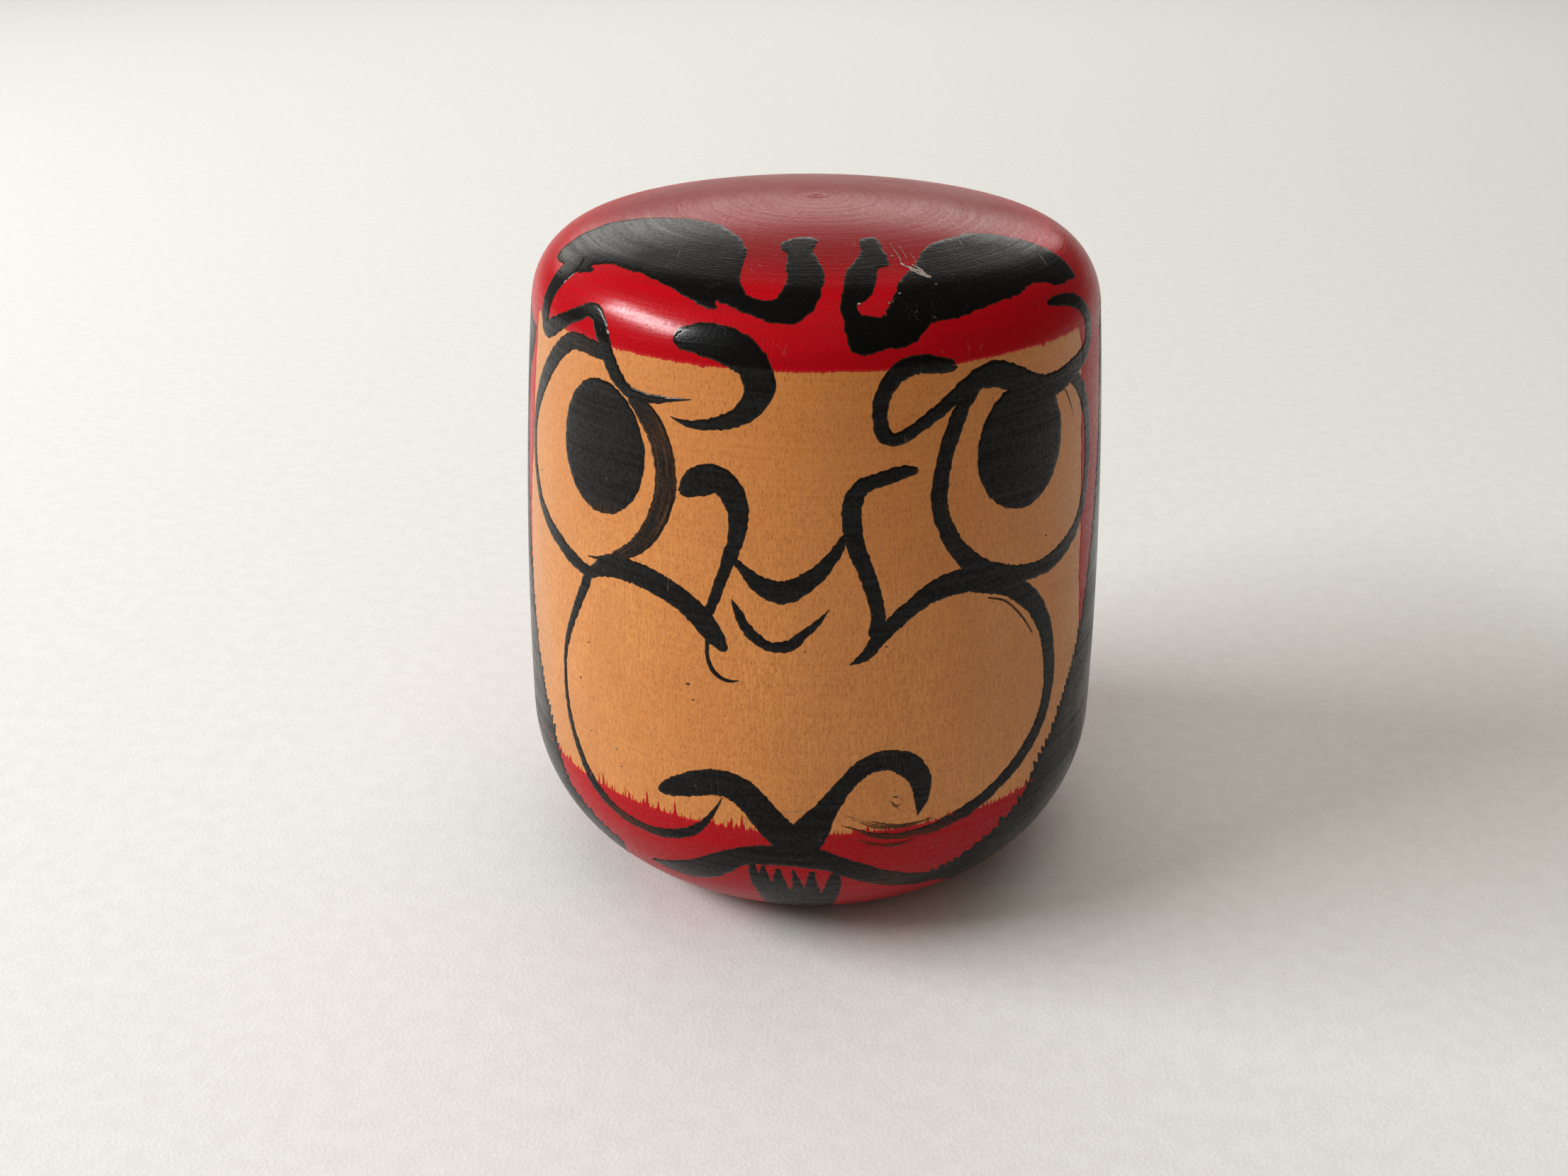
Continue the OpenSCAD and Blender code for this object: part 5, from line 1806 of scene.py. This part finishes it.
@dataclass
class WearMarks:
    """The chips and scratches on the right brow, and the wood's dark specks."""

    chips: tuple[Line, ...] = (
        ((27.6, 107.9, 0.35), (28.4, 106.9, 0.9), (29.4, 105.9, 1.0), (30.2, 105.0, 0.5)),
        ((26.6, 108.9, 0.3), (27.2, 108.0, 0.45), (28.0, 107.4, 0.3)),
        ((29.2, 108.2, 0.2), (29.8, 107.4, 0.35), (30.4, 106.8, 0.2)),
    )
    streaks: tuple[Line, ...] = (
        ((29.8, 115.0, 0.07), (28.8, 112.8, 0.12), (28.0, 110.8, 0.16), (27.2, 109.4, 0.16)),
        ((31.6, 113.4, 0.06), (30.6, 111.6, 0.1), (29.6, 110.0, 0.1)),
        ((32.2, 111.0, 0.06), (31.4, 109.6, 0.1), (30.6, 108.4, 0.1)),
        ((-40.0, 112.0, 0.06), (-36.0, 109.5, 0.09), (-31.5, 106.5, 0.06)),
        ((-36.0, 115.5, 0.06), (-32.5, 115.3, 0.08), (-29.0, 115.0, 0.06)),
        ((-0.8, 37.7, 0.1), (1.2, 37.9, 0.14), (3.4, 38.3, 0.1)),
        ((51.0, 110.5, 0.1), (52.6, 111.4, 0.14), (54.0, 112.0, 0.1)),
        ((63.0, 102.0, 0.1), (64.6, 103.1, 0.14), (66.0, 104.0, 0.1)),
    )
    dots: tuple[tuple[float, float, float], ...] = (
        (12.5, 101.3, 0.4), (18.5, 101.2, 0.35), (21.3, 102.5, 0.35), (-34.3, 41.3, 0.4),
        (26.0, 110.8, 0.35), (30.2, 103.4, 0.3),
    )
    specks: tuple[tuple[float, float, float], ...] = (
        (-18, 54, 0.55), (-17, 52, 0.4), (-41, 54.8, 0.4), (-43.8, 49, 0.45), (-59, 73.8, 0.35),
        (3, 60.1, 0.3), (17.2, 60.3, 0.35), (51.5, 69.5, 0.4), (-41, 42, 0.35), (-33, 39, 0.35),
        (19.5, 39.4, 0.5), (20.1, 38.1, 0.4),
    )

    def build(
        self, edges: LacquerEdges, chipped: bpy.types.Material, dark: bpy.types.Material
    ) -> None:
        """Builds the marks as two pieces.

        Args:
            edges: The lacquer that some of them lie on.
            chipped: The finish in the bottom of a chip.
            dark: The finish of a speck.
        """
        mesh = InkMesh(edges, "chips_and_scratches", 801, layers=2, layer_gap=0.003, ink=0.052, taper=0.05)
        for line in self.chips:
            Stroke(line, dry=(0.45, 0.35, 0.5), ragged=0.22, wick=0.1, step=0.1).lay(mesh)
        for line in self.streaks:
            Stroke(line, dry=(0.75, 0.6, 0.75), ragged=0.03, wick=0.0, step=0.12).lay(mesh)
        self.add_dots(mesh, self.dots)
        mesh.finish(None, Slot.WOOD, chipped)
        mesh = InkMesh(edges, "wood_specks", 851, layer_gap=0.0005, ink=0.012, taper=0.05)
        self.add_dots(mesh, self.specks)
        mesh.finish(None, Slot.WOOD, dark)

    @staticmethod
    def add_dots(mesh: InkMesh, dots: tuple[tuple[float, float, float], ...]) -> None:
        """Adds small ragged dots, each of an angle, a rise and a breadth."""
        for angle, rise, breadth in dots:
            half = breadth * 0.35
            line = ((angle - half, rise, breadth * 0.7), (angle + half, rise, breadth * 0.8))
            Stroke(line, ragged=0.12 * breadth, wick=0.0, step=0.1).lay(mesh)


# ---------------------------------------------------------------- the surroundings


@dataclass
class Surroundings:
    """Pale paper that turns up far behind the doll, soft lights and the camera."""

    half_width: float = 2.4
    front: float = -1.2
    back: float = 1.5
    bend: float = 0.15
    wall: float = 0.1
    aim_height: float = 0.046
    distance: float = 0.2188
    elevation: float = 24.30
    azimuth: float = 4.0
    yaw: float = -1.01
    pitch: float = -2.28
    roll: float = -0.69
    lens: float = 35.80

    def build_paper(self, paper: PalePaper) -> None:
        """Builds the floor with its turned-up far edge.

        Args:
            paper: The paper's finish.
        """
        flat = [(self.front + (self.back - self.front) * i / 24, 0.0) for i in range(24)]
        turn = [math.pi / 2 * i / 24 for i in range(25)]
        swept = [
            (self.back + self.bend * math.sin(v), self.bend * (1 - math.cos(v))) for v in turn
        ]
        line = np.array(flat + swept + [(self.back + self.bend, self.bend + self.wall)])
        x = np.linspace(-self.half_width, self.half_width, 25)
        points = np.array([(u, y, z) for y, z in line for u in x])
        faces = MeshMaker.grid_faces(len(line), len(x), 0, False)
        sheet = MeshMaker.build("paper_sweep", points, faces, {}, paper.make())

    def light(
        self,
        name: str,
        place: tuple[float, float, float],
        size: tuple[float, float],
        power: float,
        colour: tuple[float, float, float],
        mirrored: bool = True,
        aim: tuple[float, float, float] = (0.0, 0.0, 0.046),
    ) -> None:
        """Hangs one soft rectangular light.

        Args:
            name: The light's name.
            place: Its middle in metres.
            size: Its width and height in metres.
            power: Its power in watts.
            colour: Its colour.
            mirrored: Whether glossy faces show it.
            aim: The place it faces in metres.
        """
        data = bpy.data.lights.new(name, "AREA")
        data.shape = "RECTANGLE"
        data.size, data.size_y = size
        data.energy, data.color = power, colour
        made = bpy.data.objects.new(name, data)
        made.location, made.visible_glossy = place, mirrored
        facing = Vector(aim) - Vector(place)
        made.rotation_euler = facing.to_track_quat("-Z", "Y").to_euler()
        bpy.context.scene.collection.objects.link(made)

    def build_lights(self) -> None:
        """Hangs the window-like lights and sets the room's even light."""
        self.light("window_left", (-1.05, -0.29, 0.78), (0.84, 0.27), 17.5, (0.97, 0.98, 1.0))
        self.light("room_behind", (-0.35, 1.35, 0.56), (1.9, 0.32), 3.3, (1.0, 0.98, 0.94))
        self.light("ceiling", (0.0, -0.15, 1.9), (1.6, 1.4), 8.0, (1.0, 0.96, 0.89), False)
        self.light("fill_front", (0.1, -1.0, 1.1), (1.8, 1.0), 4.0, (1.0, 0.91, 0.78), False)
        far_paper = (0.0, 1.1, 0.0)
        self.light("backdrop", (0.0, 0.9, 1.1), (2.2, 0.5), 7.5, (1.0, 1.0, 0.97), False, far_paper)
        world = bpy.data.worlds.new("room")
        world.use_nodes = True
        ground = world.node_tree.nodes["Background"]
        ground.inputs["Color"].default_value = (1.0, 0.94, 0.84, 1)
        ground.inputs["Strength"].default_value = 0.12
        bpy.context.scene.world = world
        bpy.context.scene.view_settings.view_transform = "Standard"
        bpy.context.scene.view_settings.look = "Medium High Contrast"

    def build_camera(self) -> None:
        """Stands the camera in front of the doll, a little to its +X side and above."""
        e, a = math.radians(self.elevation), math.radians(self.azimuth)
        target = Vector((0, 0, self.aim_height))
        back = Vector((math.sin(a) * math.cos(e), -math.cos(a) * math.cos(e), math.sin(e)))
        forward = -back
        right = forward.cross(Vector((0, 0, 1))).normalized()
        up = right.cross(forward)
        rows = Matrix((right, up, forward))
        yaw, pitch, roll = (math.radians(v) for v in (self.yaw, self.pitch, self.roll))
        cy, sy, cp, sp = math.cos(yaw), math.sin(yaw), math.cos(pitch), math.sin(pitch)
        cr, sr = math.cos(roll), math.sin(roll)
        turn = Matrix(((cr, -sr, 0), (sr, cr, 0), (0, 0, 1)))
        turn = turn @ Matrix(((1, 0, 0), (0, cp, -sp), (0, sp, cp)))
        turn = turn @ Matrix(((cy, 0, -sy), (0, 1, 0), (sy, 0, cy)))
        rows = turn @ rows
        columns = Matrix((rows[0], rows[1], -rows[2])).transposed()
        data = bpy.data.cameras.new("camera")
        data.lens, data.sensor_width = self.lens, 36.0
        made = bpy.data.objects.new("camera", data)
        made.matrix_world = Matrix.Translation(target + back * self.distance) @ columns.to_4x4()
        bpy.context.scene.collection.objects.link(made)
        bpy.context.scene.camera = made


def write_sizes() -> None:
    """Updates the view layer."""
    bpy.context.view_layer.update()


def main() -> None:
    """Builds the doll, its finishes and its surroundings."""
    logging.basicConfig(level=logging.INFO, format="%(name)s %(message)s")
    effects = Effects.build()
    outline = TurnedOutline.of_block("block")
    edges = LacquerEdges(outline)
    lacquer, ink = RedLacquer(effects).make(), BrushInk(effects).make()
    Block(outline).build(TurnedWood(effects))
    coat = RedCoat(edges)
    coat.build_hood(lacquer)
    coat.build_robe(lacquer)
    for feature in (Hair(), Brows(), Eyes(), NoseAndFrown(), Cheeks(), MouthAndBeard()):
        feature.build(edges, ink)
    WearMarks().build(edges, ChippedGround(effects).make(), DarkSpeck(effects).make())
    surroundings = Surroundings()
    surroundings.build_paper(PalePaper())
    surroundings.build_lights()
    surroundings.build_camera()
    write_sizes()


if __name__ == "__main__":
    main()
